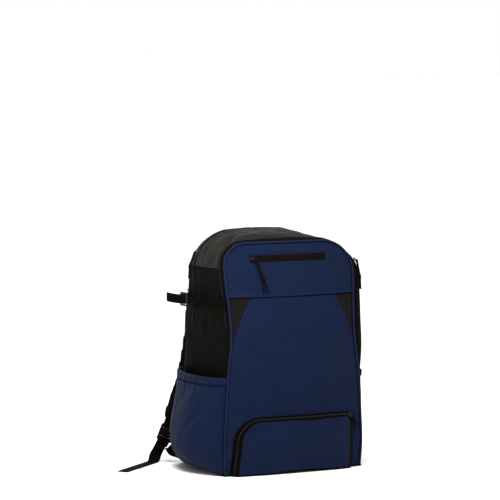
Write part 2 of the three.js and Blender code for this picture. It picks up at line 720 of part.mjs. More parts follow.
function addPocket(name, side, pocket, colour) {
  const split = rowAt(pocket, pocket.hem);
  const gap = rowAt(pocket, pocket.hem + SEAM_GAP) - split;
  const vs = range(pocket.columns).map((s) => {
    const eased = (1 - Math.cos(Math.PI * s)) / 2;
    return pocket.front + (pocket.rear - pocket.front) * ((s + eased) / 2);
  });
  const place = (v, s) => pocketPoint(side, pocket, v, s);
  const out = side < 0 ? inward : outward;
  const whole = () => true;
  add(name, sheet(vs, range(pocket.rows, 0, split), place, out(CLOTH), whole, POCKET_RIM), colour);
  add(`${name}_hem`, sheet(vs, [split + gap, 1], place, out(HEM_THICK)), NAVY);
}
addPocket("bat_sleeve", -1, SLEEVE, NAVY);
addPocket("side_pocket_right", 1, SIDE_POCKET, MESH_BLACK);

// Buckles: a flat frame with two slots, in its own plane: across, along, out

function frameAt(origin, along3, out3) {
  const out = out3.clone().normalize();
  const run = along3.clone().addScaledVector(out, -along3.dot(out)).normalize();
  const across = new THREE.Vector3().crossVectors(run, out);
  return { origin, run, out, across };
}

function inFrame(frame, a, n, c = 0) {
  return frame.origin.clone().addScaledVector(frame.run, a).addScaledVector(frame.out, n)
    .addScaledVector(frame.across, c);
}

// A rounded plate lying in a frame's plane, with holes through it
function plateIn(frame, wide, tall, thick, radius, holes = []) {
  const outline = { left: -wide / 2, right: wide / 2, low: -tall / 2, high: tall / 2, radius };
  const shape = new THREE.Shape(roundedBox(outline, 0));
  shape.holes.push(...holes.map((hole) => new THREE.Path(flatPoints(hole))));
  const plate = new THREE.ExtrudeGeometry(shape, { depth: thick, bevelEnabled: false });
  const basis = new THREE.Matrix4().makeBasis(frame.across, frame.run, frame.out);
  return plate.translate(0, 0, -thick / 2).applyMatrix4(basis.setPosition(frame.origin));
}

function buckle(size, frame) {
  const half = size.slot / 2;
  const far = half - SLOT_TAPER;
  const holes = [-1, 1].map((side) => {
    const inner = side * (size.mid / 2);
    const outer = side * (size.tall / 2 - size.bar);
    return [[-half, inner], [half, inner], [far, outer], [-far, outer]];
  });
  return plateIn(frame, size.wide, size.tall, size.thick, size.bar, holes);
}

// The bend of webbing round a buckle's end bar, from the bag side over the slot to the outer side
function turnRound(size, side, frame) {
  const centre = side * (size.tall / 2 - size.bar + BEND.inset);
  return range(BEND.steps).map((s) => {
    const angle = Math.PI * s;
    const a = centre - side * size.turn * Math.sin(angle);
    return inFrame(frame, a, -size.turn * Math.cos(angle));
  });
}

// Shoulder straps

const level = new THREE.Vector3(1, 0, 0);
const rear = new THREE.Vector3(0, 1, 0);
const upright = new THREE.Vector3(0, 0, 1);

function addPad(name, rows) {
  const stations = stationsOn(rows.map(spot), range(GRID.pad), () => level);
  const table = rows.map((row, i) => ({ s: i / (rows.length - 1), wide: row.wide }));
  const t = PAD.thick / 2;
  const edge = PAD.edge;
  add(`shoulder_pad_${name}`, sweep(stations, (i) => {
    const w = along(table, i / GRID.pad, "wide", "s") / 2;
    return [[-w, -t + edge], [-w + edge, -t], [w - edge, -t], [w, -t + edge],
      [w, t - edge], [w - edge, t], [-w + edge, t], [-w, t - edge]];
  }), BLACK);
}

// The loop sewn in the pad's end, which holds the ladder lock
function addLockLoop(name, lock, hang) {
  const top = -hang + LOOP_CLEAR;
  const half = top / 2 - LOCK.tall / 4;
  const loop = [
    inFrame(lock, top, -LOCK.turn), inFrame(lock, half, -LOCK.turn), ...turnRound(LOCK, -1, lock),
    inFrame(lock, half, LOCK.turn), inFrame(lock, top, LOCK.turn),
  ];
  add(`lock_loop_${name}`, ribbon(loop, WEB, () => lock.across), BLACK);
}

// The webbing from the anchor tab, round the lock's lower bar and down to its free tail
function addWebbing(name, lock, anchor, tail) {
  const near = LOCK.tall / 2 + LEAD.near;
  const far = LOCK.tall / 2 + LEAD.far;
  const path = [
    ...anchor.map(spot), inFrame(lock, far, -LOCK.turn - LEAD.off), inFrame(lock, near, -LOCK.turn),
    ...turnRound(LOCK, 1, lock), inFrame(lock, near, LOCK.turn), ...tail.map(spot),
  ];
  const side = Math.sign(anchor[0].x);
  const before = anchor.length;
  const turned = path.length - tail.length - 1;
  const widthAt = (s, tangent) => {
    const place = s * (path.length - 1);
    const flat = new THREE.Vector3().crossVectors(rear, tangent).normalize();
    const lay = new THREE.Vector3(-tangent.y, tangent.x, 0).multiplyScalar(side).normalize();
    if (place < before) return flat.lerp(lock.across, smooth(place / before));
    return lock.across.clone().lerp(lay, smooth((place - turned) / 2));
  };
  add(`strap_webbing_${name}`, ribbon(path, WEB, widthAt), BLACK);
}

function addAnchorTab(name, anchor) {
  const side = Math.sign(anchor[0].x);
  const [foot, end] = anchor;
  const outline = flatPoints([
    ...TAB_EDGE.map(({ x, z }) => [side * x, z]),
    [end.x, end.z + TAB.half], [end.x, end.z - TAB.half], [foot.x, foot.z - TAB.low],
  ]);
  const plate = new THREE.ExtrudeGeometry(new THREE.Shape(outline), { depth: CLOTH, bevelEnabled: false });
  const seat = along(BACK_EDGE, TAB.seatHeight, "y") + BACK_PAD + CLOTH + SEAM_GAP;
  add(`strap_anchor_${name}`, plate.rotateX(Math.PI / 2).translate(0, seat, 0), BLACK);
}

const shoulders = [
  ["left", PAD_LEFT, ANCHOR_LEFT, TAIL_LEFT],
  ["right", PAD_RIGHT, ANCHOR_RIGHT, TAIL_RIGHT],
];
for (const [name, rows, anchor, tail] of shoulders) {
  addPad(name, rows);
  const end = spot(rows.at(-1));
  const down = end.clone().sub(spot(rows.at(-2))).normalize();
  const hang = LOCK.drop + LOCK.tall / 2;
  const lock = frameAt(end.addScaledVector(down, hang), down, rear);
  add(`ladder_lock_${name}`, buckle(LOCK, lock), BLACK, PLASTIC_ROUGH);
  addLockLoop(name, lock, hang);
  addWebbing(name, lock, anchor, tail);
  addAnchorTab(name, anchor);
}

// Strap round the left side, through its slide buckle to the free tail

const glideRun = new THREE.Vector3(-GLIDE_AT.lean, 1, 0);
const glideOut = new THREE.Vector3(-1, -GLIDE_AT.lean, 0);
const glide = frameAt(spot(GLIDE_AT), glideRun, glideOut);
const weave = ({ run, off }) => inFrame(glide, run, off);
const onLeft = ({ z, off }, v) => wallPoint(-1, z, v).add(new THREE.Vector3(-off, 0, 0));
const seamEnd = (start) => [onLeft(start, start.near), onLeft(start, start.far)];
const strapPath = [...seamEnd(STRAP_START), ...STRAP_RUN.map(spot), ...STRAP_WEAVE.map(weave)];
add("bat_strap", ribbon(strapPath, BAT_WEB, () => upright), BLACK);
add("bat_strap_buckle", buckle(GLIDE, glide), BLACK, PLASTIC_ROUGH);
const anchorLoop = [
  ...seamEnd(LOOP_START), spot(LOOP_RUN), ...LOOP_WEAVE.map(weave), ...turnRound(GLIDE, 1, glide),
  weave(LOOP_END),
];
add("bat_strap_anchor", ribbon(anchorLoop, BAT_WEB, () => upright), BLACK);

// Zip sliders and their cord pulls

function addSlider(name, at, run, out) {
  const frame = frameAt(at.clone().addScaledVector(out, SLIDER.seat + SLIDER.thick / 2), run, out);
  add(name, plateIn(frame, SLIDER.wide, SLIDER.long, SLIDER.thick, SLIDER.round), STEEL, STEEL_ROUGH, 1);
  return frame;
}

// The top of a cord that lies on a slider's face
function cordTop(slider, clear, run, across = 0) {
  return inFrame(slider, run, SLIDER.thick / 2 + clear + PULL.radius, across);
}

// A doubled cord: two strands from the slider's face to a knot, and two short tails below it
function addPull(name, top, knot, tails, apart) {
  const beside = (at, off) => at.clone().addScaledVector(apart, off);
  const middle = top.clone().lerp(knot, 0.5);
  const strand = [
    tails[0], beside(knot, PULL.apart), beside(middle, PULL.wide), beside(top, PULL.apart),
    top.clone().lerp(knot, -PULL.over),
    beside(top, -PULL.apart), beside(middle, -PULL.wide), beside(knot, -PULL.apart), tails[1],
  ];
  const ball = new THREE.SphereGeometry(PULL.knot, 7, 4).translate(knot.x, knot.y, knot.z);
  const line = cord(strand, PULL.steps, PULL.radius, PULL.sides);
  const whole = toManifold(line).add(toManifold(ball)).simplify(PULL.fine);
  add(name, fromManifold(whole), BLACK, CORD_ROUGH);
}

const lipRun = SLIDER.long / 2 - SLIDER.lip;
const lipAcross = SLIDER.wide / 2 - SLIDER.lip;

const onFront = (x, z, off) => new THREE.Vector3(x, frontDepth(x, z) - off, z);
const frontSpot = onFront(POCKET_SLIDER.x, POCKET_SLIDER.z, 0);
const frontRight = onFront(POCKET_SLIDER.x + 1, POCKET_SLIDER.z, 0).sub(frontSpot);
const frontUp = onFront(POCKET_SLIDER.x, POCKET_SLIDER.z + 1, 0).sub(frontSpot);
const frontOut = new THREE.Vector3().crossVectors(frontRight, frontUp).normalize();
const pocketSlider = addSlider("pocket_zip_slider", frontSpot, frontRight, frontOut);
addPull("pocket_zip_pull", cordTop(pocketSlider, POCKET_SLIDER.clear, lipAcross, lipAcross),
  onFront(POCKET_SLIDER.knotX, POCKET_SLIDER.knotZ, PULL.lie),
  POCKET_SLIDER.tails.map((x) => onFront(x, POCKET_SLIDER.tailZ, PULL.tail)), level);

const podRow = podRows.length - POD_SLIDER.row;
const podCell = [podRow, podRow + 1].flatMap((k) => [0.5, 1].map((v) => podBand(podRows[k], v)));
const podRun = podCell[2].clone().sub(podCell[0]);
const podOut = new THREE.Vector3().crossVectors(podRun, podCell[1].clone().sub(podCell[0])).normalize();
const podSpot = middleOf(podCell);
const podSlider = addSlider("lower_pocket_slider", podSpot, podRun, podOut);
addPull("lower_pocket_pull", cordTop(podSlider, POD_SLIDER.clear, POD_SLIDER.over),
  onFront(POD_SLIDER.knotX, POD_SLIDER.knotZ, POD_SLIDER.lie),
  POD_SLIDER.tails.map(([x, z]) => onFront(x, z, PULL.tail)), podSlider.across.clone().negate());

function addGussetSlider(name, target, zip) {
  const k = zipRows.findIndex((t) => t > target);
  const rows = [zipRows[k - 1], zipRows[k]];
  const cell = rows.flatMap((t) => [gusset(t, zip.low + ZIP_SEAM), gusset(t, zip.high - ZIP_SEAM)]);
  const run = cell[2].clone().sub(cell[0]);
  const out = new THREE.Vector3().crossVectors(run, cell[1].clone().sub(cell[0])).normalize();
  const slider = addSlider(`${name}_slider`, middleOf(cell), run, out);
  const t = (rows[0] + rows[1]) / 2;
  const side = Math.sign(t);
  const full = archLength(FRONT_EDGE, FRONT_TOP, frontRadius(t));
  const drop = (length, off, swing) => gusset(t + (side * length) / full, (zip.low + zip.high) / 2)
    .addScaledVector(out, off).addScaledVector(rear, swing);
  const top = cordTop(slider, GUSSET_PULL.clear, side * lipRun);
  addPull(`${name}_pull`, top, drop(GUSSET_PULL.knot, GUSSET_PULL.lie, 0),
    [1, -1].map((way) => drop(GUSSET_PULL.tail, GUSSET_PULL.off, way * GUSSET_PULL.swing)), rear);
}
addGussetSlider("front_zip", FRONT_SLIDER_AT, FRONT_ZIP);
addGussetSlider("rear_zip", REAR_SLIDER_AT, REAR_ZIP);

export default part;
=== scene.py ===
"""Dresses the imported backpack: cloth panels, zips, webbing, pads, stitches, materials, light and camera."""

import math

import bpy
import numpy as np
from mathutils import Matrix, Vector
from mathutils.bvhtree import BVHTree


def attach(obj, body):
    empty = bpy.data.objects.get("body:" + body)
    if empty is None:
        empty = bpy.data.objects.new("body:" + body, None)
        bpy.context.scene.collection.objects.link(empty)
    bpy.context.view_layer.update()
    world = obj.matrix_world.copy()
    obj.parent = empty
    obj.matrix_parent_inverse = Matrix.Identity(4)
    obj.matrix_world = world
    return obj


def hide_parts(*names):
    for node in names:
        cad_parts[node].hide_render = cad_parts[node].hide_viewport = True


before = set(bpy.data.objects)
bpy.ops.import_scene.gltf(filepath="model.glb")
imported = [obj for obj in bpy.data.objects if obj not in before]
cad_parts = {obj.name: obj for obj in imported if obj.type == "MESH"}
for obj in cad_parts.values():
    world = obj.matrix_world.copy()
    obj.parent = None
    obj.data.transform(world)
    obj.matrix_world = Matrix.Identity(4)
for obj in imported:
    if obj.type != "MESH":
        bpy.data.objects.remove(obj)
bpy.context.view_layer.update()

MM = 0.001
TURN = 2 * math.pi
QUARTER = math.pi / 2
REAR, UP, LEVEL = np.array([0, 1.0, 0]), np.array([0, 0, 1.0]), np.array([1.0, 0, 0])
SIDES = (("left", -1), ("right", 1))

# Sizes of the part, in millimetres


def columns(names, *rows):
    return dict(zip(names.split(), np.array(rows, float).T))


CLOTH = 2.0
SEAM_GAP = 0.3
SEAM_HALF = SEAM_GAP / 2
FOOT = 3.3
BASE_THICK = 3.0
BACK_PAD = 6.0
BACK_BORDER = 9.0
PIPE_RADIUS = 3.0
PIPE_ROOM = PIPE_RADIUS + SEAM_GAP
PIPE_SHOWN = 2.1
PIPE_STEP = 3.0
FLANGE = {"in": 2.2, "radius": 2.1}
FRONT_TOP = 473.0
FRONT_RADIUS = {"left": 50.0, "right": 70.0}
BACK_TOP = 486.0
BACK_RADIUS = {"left": 86.0, "right": 112.0}
FRONT_EDGE = columns(
    "z half y bulge",
    (0, 155, -103, 5), (60, 158, -105, 12), (200, 150, -105, 18), (290, 141, -102, 18),
    (400, 147, -86, 13), (453, 149, -78, 6), (473, 149, -76, 0),
)
BACK_EDGE = columns("z half y", (0, 154, 103), (200, 150, 105), (390, 141, 101), (486, 141, 92))
SIDE_BULGE = columns(
    "z left right",
    (0, 1, 1), (60, 4, 5), (143, 6, 18), (190, 6, 25), (250, 6, 42), (335, 6, 48),
    (415, 7, 36), (450, 7, 11), (480, 6, 0),
)
TOP_BULGE = 12.0
FRONT_BULGE_POWER = 2.4
FRONT_ZIP = (0.04, 0.1)
REAR_ZIP = (0.8, 0.86)
TOP_SPLIT = 0.3
ZIP_END = 0.5
ZIP_SEAM = 0.002
TAPE_THICK = 1.4
SEAM_HEIGHT = 364.0
HEM_LAP = 3.0
WELT = {"rise": 2.6, "at": 1.2, "wide": 2.6}
INSERT_INNER = 97.0
INSERT_TIP = 272.0
INSERT_BEND = 0.28
SLOT = {"left": -90.0, "right": 83.0, "low": 434.0, "high": 448.0}
POD = {
    "half": 135.0, "top": 119.0, "band": 13.0, "top_band": 0.7, "rise": 14.0, "dome": 5.0, "edge": 4,
    "fade": 50.0,
}
POD_RADIUS = {"left": 50.0, "right": 26.0}
POD_FLARE = {"left": 11.0, "right": 0.0}
ARCH = {"middle": 14.0, "half": 80.0, "lift": 3.6, "fade": 60.0}
SLEEVE = {
    "low": 6.0, "round": 56.0, "belly": 56.0, "mouth": 34.0, "hem": 187.0, "top": 202.0,
    "front": 0.008, "rear": 0.985, "gathers": 9, "gather": 0.5, "reach": 45.0,
}
SIDE_POCKET = {
    "low": 48.0, "round": 60.0, "belly": 13.0, "mouth": 2.0, "hem": 186.0, "top": 200.0,
    "front": 0.09, "rear": 0.9, "gathers": 0, "gather": 0.0, "reach": 1.0,
}
POCKET_CLEAR = 0.9
HEM_THICK = 3.4
WEB = (25.0, 1.6)
BAT_WEB = (19.0, 1.6)
LOCK = {
    "tall": 34.0, "bar": 5.0, "turn": 3.4, "drop": 14.0, "wide": 34.0, "thick": 4.0, "grip": 7.0,
    "slot": 24.4, "middle": 17.6,
}
GLIDE = {
    "tall": 24.0, "bar": 3.0, "turn": 3.2, "wide": 29.0, "thick": 3.5, "grip": 3.0,
    "slot": 22.0, "middle": 2.4,
}
PAD_THICK = 12.0
PAD_BORDER = 8.0
PADS = columns(
    "left right y z wide",
    (-74, 74, 109.2, 447, 62), (-79, 79, 110.6, 433, 62), (-92, 90, 127, 402, 61), (-102, 98, 140, 368, 60),
    (-107, 102, 144.5, 330, 60), (-112, 105, 146, 277, 58), (-125, 108, 144, 204, 56),
    (-147, 113, 139, 139, 52), (-164, 117, 135, 101, 44), (-170, 118, 134, 87, 34),
)
ANCHORS = {
    "left": [(-153, 113.3, 16), (-165, 113.3, 21), (-184, 118.5, 27)],
    "right": [(142, 114, 16), (134, 114, 20), (127, 118.5, 24)],
}
TAILS = {
    "left": [(-204, 138, 13), (-211, 132, 2.2), (-222, 122, 1), (-250, 99, 1), (-286, 70, 1), (-321, 42, 1)],
    "right": [(121, 139, 13), (121.5, 146, 2.2), (122, 160, 1), (121, 196, 1), (116, 240, 1), (108, 272, 1)],
}
TAB_EDGE = [(108, 8), (140, 62), (150, 56)]
STRAP_SEWN = [(349, 0.015), (349, 0.06)]
STRAP_RUN = [(-163, -62, 349), (-178, -36, 349.5), (-184, -4, 350)]
LOOP_SEWN = [(350, 0.985), (350, 0.95)]
LOOP_RUN = (-162, 82, 350)
LOOP_END = (13.5, 3.2)
GLIDE_AT = (-175.0, 55.0, 350.0)
GLIDE_LEAN = 0.15
STRAP_WEAVE = [
    (-30, -4.5), (-20, -3.2), (-12, -3.2), (-8.6, -3.2), (-5, 0), (-1.4, 3.2), (1.5, 3.6), (9, 6.2),
    (16, 7), (32, 7), (48, 5), (64, 1),
]
LOOP_WEAVE = [(17, -4.4), (14, -3.2)]
SLIDER = {"wide": 9.0, "long": 12.0, "thick": 4.0, "seat": 0.9, "lip": 1.5, "plate": 1.3}
CORD = {"radius": 1.55, "apart": 1.9, "wide": 2.6, "lie": 5.0, "tail": 3.0, "over": 0.07}
KNOT = {"turns": 3.5, "long": 9.0, "radius": 1.1, "wide": 3.6, "deep": 2.1}
POCKET_PULL = {"slider": (-84, 441), "knot": (-70, 402), "tails": ((-60, 372), (-70, 372))}
POD_PULL = {"knot": (136, 99), "off": 8, "tails": ((148, 87), (138, 77))}
GUSSET_PULLS = (
    ("front_zip", (0.2649, 0.3), FRONT_ZIP, (3.4, 2.4)),
    ("rear_zip", (-0.2649, -0.2318), REAR_ZIP, (8.5, 9.0)),
)
GUSSET_PULL = {"knot": 30, "tails": 56, "swing": 2.5, "spread": 0.75}

# Shape of the bag


def smooth(s):
    c = np.clip(s, 0, 1)
    return c * c * (3 - 2 * c)


def mix(a, b, s):
    return a * (1 - s) + b * s


def bell(gap, wide):
    return np.exp(-((gap / wide) ** 2))


def rounded(share):
    """From 0 at both ends to 1 halfway, as round as half a circle."""
    return 2 * np.sqrt(np.maximum(share * (1 - share), 0))


def along(table, at, column, key="z"):
    """A smooth value of one column of a table, between its rows."""
    knots, values = table[key], table[column]
    rows = np.arange(len(knots))
    at = np.clip(at, knots[0], knots[-1])
    i = np.clip(np.searchsorted(knots, at) - 1, 0, rows[-1] - 1)
    before, after = np.maximum(rows - 1, 0), np.minimum(rows + 1, rows[-1])
    slope = (values[after] - values[before]) / (knots[after] - knots[before])
    span = knots[i + 1] - knots[i]
    s = (at - knots[i]) / span
    ends = s * (1 - s) ** 2 * slope[i] + s * s * (s - 1) * slope[i + 1]
    return mix(values[i], values[i + 1], smooth(s)) + span * ends


def sided(pair, x):
    """The left or the right value, for the side that x is on."""
    return np.where(np.asarray(x) < 0, pair["left"], pair["right"])


def outline_length(top, half, radius):
    """Half of an outline: a wall, a corner and half of the level top."""
    return top - radius - FOOT + QUARTER * radius + half - radius


def top_share(top, half, radius):
    """Where an outline leaves its corner for the level top."""
    return (half - radius) / outline_length(top, half, radius)


def outline(top, half, radius, t, inset, lower):
    """From the left foot (-1) over the top to the right foot (1): height, corner and share of the width."""
    wall = top - radius - FOOT
    s = (1 - np.abs(t)) * outline_length(top, half, radius)
    turn = np.clip((s - wall) / radius, 0, QUARTER)
    z = np.where(s < wall, FOOT + s, top - radius + (radius - lower) * np.sin(turn))
    level = np.clip((s - wall - QUARTER * radius) / (half - radius), 0, 1)
    return z, (radius - inset) * np.cos(turn), 1 - level


def arch(edge, top, radius, t, inset=0.0):
    t = np.asarray(t, float)
    z, corner, share = outline(top, along(edge, top, "half"), radius, t, inset, inset)
    reach = along(edge, z, "half") - radius + corner
    return np.stack([np.sign(t) * reach * share, along(edge, z, "y"), z], -1)


def front_arch(t):
    return arch(FRONT_EDGE, FRONT_TOP, sided(FRONT_RADIUS, t), t)


def back_arch(t, inset=0.0):
    return arch(BACK_EDGE, BACK_TOP, sided(BACK_RADIUS, t), t, inset)


def corner_reach(top, radius, z, room=0.0):
    """How much narrower an outline is at a height, because of its round corner."""
    above = np.maximum(z - (top - radius), 0)
    return np.sqrt(np.maximum((radius - room) ** 2 - above**2, 0)) - radius


def front_reach(x, z):
    """Half width of the front inside the piping, on the side that x is on."""
    return along(FRONT_EDGE, z, "half") + corner_reach(FRONT_TOP, sided(FRONT_RADIUS, x), z, PIPE_ROOM)


def front_depth(x, z):
    ratio = np.minimum(np.abs(x) / np.maximum(front_reach(x, z), 1e-6), 1)
    bulge = along(FRONT_EDGE, z, "bulge") * (1 - ratio**FRONT_BULGE_POWER)
    return along(FRONT_EDGE, z, "y") - bulge


def on_front(x, z, off=0.0):
    return np.stack([x + 0 * z, front_depth(x, z) - off, z + 0 * x], -1)


def gusset_flat(t, w):
    front, back = front_arch(t), back_arch(t)
    depth = back[..., 1:2] - front[..., 1:2]
    front = front + (back - front) * PIPE_ROOM / depth
    return front + (back - REAR * SEAM_GAP - front) * np.asarray(w)[..., None]


def gusset(t, w):
    """The band between the front and back outlines, swelling between them."""
    t, w = np.broadcast_arrays(np.asarray(t, float), np.asarray(w, float))
    step = 2e-3
    at = gusset_flat(t, w)
    tangent = gusset_flat(np.minimum(t + step, 1), w) - gusset_flat(np.maximum(t - step, -1), w)
    out = unit(np.stack([-tangent[..., 2], 0 * t, tangent[..., 0]], -1))
    side = sided({name: along(SIDE_BULGE, at[..., 2], name) for name, _ in SIDES}, t)
    swell = mix(TOP_BULGE, side, smooth(np.abs(t) / TOP_SPLIT)) * rounded(w)
    return at + out * swell[..., None]


def pod_lean(x, z):
    """How far a leg of the lower pocket leans out towards its foot."""
    return sided(POD_FLARE, x) * np.maximum(1 - z / POD["top"], 0)


def pod_reach(x, z):
    return POD["half"] + corner_reach(POD["top"], sided(POD_RADIUS, x), z) + pod_lean(x, z)


def pod_turn(side):
    return top_share(POD["top"], POD["half"], float(sided(POD_RADIUS, side)))


def pod_outline(t, inset):
    radius = sided(POD_RADIUS, t)
    z, corner, share = outline(POD["top"], POD["half"], radius, t, inset, inset * POD["top_band"])
    return np.sign(t) * (POD["half"] - radius + corner + pod_lean(t, z)) * share, z


def pod_band(t, v):
    x, z = pod_outline(t, POD["band"] * (1 - v))
    return on_front(x, z, POD["rise"] * (1 - v))


def pod_depth(x, z):
    share = np.minimum(np.abs(x) / (pod_reach(x, z) - POD["band"]), 1)
    dome = POD["dome"] * (1 - share ** POD["edge"])
    dome = dome * smooth((POD["top"] - POD["band"] - z) / POD["fade"])
    return front_depth(x, z) - POD["rise"] - dome


def bottom_arch(x, z):
    """The front's bottom edge is drawn up a little in the middle."""
    place = np.clip((x - ARCH["middle"]) / ARCH["half"], -1, 1)
    return ARCH["lift"] * np.cos(QUARTER * place) ** 2 * (1 - smooth((z - FOOT) / ARCH["fade"]))


def wall_point(side, z, v):
    half = mix(along(FRONT_EDGE, z, "half"), along(BACK_EDGE, z, "half"), v)
    front, back = along(FRONT_EDGE, z, "y") + PIPE_ROOM, along(BACK_EDGE, z, "y") - SEAM_GAP
    swell = along(SIDE_BULGE, z, "left" if side < 0 else "right") * rounded(v)
    return np.stack([side * (half + swell), mix(front, back, v), z + 0 * v], -1)


def pocket_run(pocket):
    """A side pocket's round foot and the straight part above it."""
    return QUARTER * pocket["round"], pocket["top"] - pocket["low"] - pocket["round"]


def pocket_point(side, pocket, v, s):
    """A side pocket: it leaves the wall, bellies out and narrows to its mouth."""
    arc, straight = pocket_run(pocket)
    run = s * (arc + straight)
    turn = np.minimum(run / pocket["round"], QUARTER)
    above = np.maximum(run - arc, 0)
    z = pocket["low"] + pocket["round"] * (1 - np.cos(turn)) + above
    full = mix(pocket["belly"], pocket["mouth"], smooth(above / straight))
    near = smooth(1 - np.abs(z - pocket["hem"]) / pocket["reach"])
    ripple = pocket["gather"] * near * np.cos(TURN * pocket["gathers"] * v)
    share = (v - pocket["front"]) / (pocket["rear"] - pocket["front"])
    at = wall_point(side, z, v)
    at[..., 0] += side * (POCKET_CLEAR + (full * np.sin(turn) + ripple) * rounded(share))
    return at


def pocket_row(pocket, z):
    arc, straight = pocket_run(pocket)
    return (arc + z - pocket["low"] - pocket["round"]) / (arc + straight)


# Lines


def unit(v):
    return v / np.maximum(np.linalg.norm(v, axis=-1, keepdims=True), 1e-9)


def runs(points, axis=0):
    """How far along a line, or along the rows or columns of a grid, its points are."""
    steps = np.linalg.norm(np.diff(points, axis=axis), axis=-1)
    return np.insert(np.cumsum(steps, axis=axis), 0, 0, axis=axis)


def spline(points, step):
    """A centripetal curve through the points, sampled about step apart, with each sample's place."""
    p = np.array(points, float)
    p = np.concatenate([[2 * p[0] - p[1]], p, [2 * p[-1] - p[-2]]])
    line, place = [], []
    for i in range(1, len(p) - 2):
        a, b, c, d = p[i - 1 : i + 3]
        before, here, after = np.maximum([math.dist(*ends) ** 0.5 for ends in ((a, b), (b, c), (c, d))], 1e-2)
        leave = here * ((b - a) / before - (c - a) / (before + here) + (c - b) / here)
        enter = here * ((c - b) / here - (d - b) / (here + after) + (d - c) / after)
        count = max(2, math.ceil(math.dist(b, c) / step))
        last = i == len(p) - 3
        w = np.linspace(0, 1, count + 1)[: count + 1 if last else count, None]
        bend, twist = 3 * (c - b) - 2 * leave - enter, 2 * (b - c) + leave + enter
        line.append(b + leave * w + bend * w**2 + twist * w**3)
        place.append(i - 1 + w[:, 0])
    return np.concatenate(line), np.concatenate(place)


def spaced(line, step):
    """The line again with points an equal step apart."""
    run = runs(line)
    at = np.linspace(0, run[-1], max(2, round(run[-1] / step) + 1))
    return np.stack([np.interp(at, run, column) for column in line.T], -1)


def paced(line, out, step):
    """Points an equal step apart along a line on the cloth, and the way out of the cloth there."""
    both = spaced(np.concatenate([line, np.broadcast_to(out, line.shape)], -1), step)
    return both[:, :3], unit(both[:, 3:])


def tangents(line):
    return unit(np.gradient(line, axis=0))


def carried(line):
    """Two directions across a line that turn with it as little as they can."""
    along_line = tangents(line)
    across = [unit(np.cross(along_line[0], UP if abs(along_line[0][2]) < 0.9 else LEVEL))]
    for t in along_line[1:]:
        across.append(unit(across[-1] - t * np.dot(across[-1], t)))
    return np.array(across), np.cross(along_line, across)


# Random but repeatable unevenness


def uneven(u, v, size, seed):
    """Smooth values from -1 to 1 over a plane, with bumps about that size."""
    count = 64
    values = np.random.default_rng(seed).uniform(-1, 1, (count, count))
    x, y = np.asarray(u) / size, np.asarray(v) / size
    i, j = np.floor(x).astype(int), np.floor(y).astype(int)
    corner = [[values[a % count, b % count] for a in (i, i + 1)] for b in (j, j + 1)]
    return mix(*(mix(*row, smooth(x - i)) for row in corner), smooth(y - j))


def bumps(u, v, *layers):
    return sum(high * uneven(u, v, size, seed) for high, size, seed in layers)


def creases(u, v, folds):
    """Soft folds along straight lines on a plane: raised where deep is positive."""
    total = 0
    for start, end, wide, deep in folds:
        run = np.subtract(end, start).astype(float)
        s = ((u - start[0]) * run[0] + (v - start[1]) * run[1]) / (run @ run)
        gap = np.hypot(u - start[0] - s * run[0], v - start[1] - s * run[1])
        total = total + deep * smooth(1.2 - np.abs(2 * s - 1) * 1.2) * bell(gap, wide)
    return total


# Materials

LIT = 1.68
HAZE = 0.0062
DARKEST = 0.0008


def linear(rgb):
    """The cloth's own colour, from how it looks under the studio light."""
    c = np.array(rgb, float) / 255
    c = np.where(c <= 0.04045, c / 12.92, ((c + 0.055) / 1.055) ** 2.4)
    return tuple(float(max(x - HAZE, DARKEST)) / LIT for x in c)


class Nodes:
    """The nodes of a material or of the world, made and joined by short calls."""

    def __init__(self, name, owners=bpy.data.materials, shader="Principled BSDF"):
        self.owner = owners.new(name)
        self.owner.use_nodes = True
        self.tree = self.owner.node_tree
        self.shader = self.tree.nodes[shader]

    def put(self, node, values):
        """Sets a node's sockets to numbers, or joins them to other nodes."""
        for key, value in values.items():
            if isinstance(value, (int, float)):
                node.inputs[key].default_value = value
            else:
                self.tree.links.new(value, node.inputs[key])

    def add(self, kind, values, **settings):
        node = self.tree.nodes.new(kind)
        for key, value in settings.items():
            setattr(node, key, value)
        self.put(node, values)
        return node.outputs

    def math(self, operation, a, b=0.0):
        return self.add("ShaderNodeMath", {0: a, 1: b}, operation=operation)[0]

    def scaled(self, value, factor, plus):
        return self.math("ADD", self.math("MULTIPLY", value, factor), plus)

    def weave(self):
        return self.add("ShaderNodeUVMap", {}, uv_map="cloth")["UV"]

    def place(self):
        return self.add("ShaderNodeTexCoord", {})["Object"]

    def waves(self, vector, direction, period, distort=0.0):
        values = {"Vector": vector, "Scale": math.pi / 10 / period, "Distortion": distort, "Detail": 0}
        return self.add("ShaderNodeTexWave", values, bands_direction=direction)["Fac"]

    def noise(self, vector, size, detail):
        return self.add("ShaderNodeTexNoise", {"Vector": vector, "Scale": 1 / size, "Detail": detail})["Fac"]

    def bump(self, height, strength, distance):
        values = {"Height": height, "Strength": strength, "Distance": distance}
        self.put(self.shader, {"Normal": self.add("ShaderNodeBump", values)[0]})

    def shades(self, colour, tone, stops):
        """Two shades of a colour, and those between them, over a tone."""
        ramp = self.tree.nodes.new("ShaderNodeValToRGB")
        self.put(ramp, {0: tone})
        for element, (place, factor) in zip(ramp.color_ramp.elements, stops):
            element.position = place
            element.color = (*(min(c * factor, 1) for c in colour), 1)
        return ramp.outputs[0]

    def surface(self, colour, tone, stops, rough, shine, **more):
        base = self.shades(colour, tone, stops)
        values = {"Base Color": base, "Roughness": rough, "Specular IOR Level": shine}
        self.put(self.shader, values | {key.replace("_", " "): value for key, value in more.items()})
        return self.owner


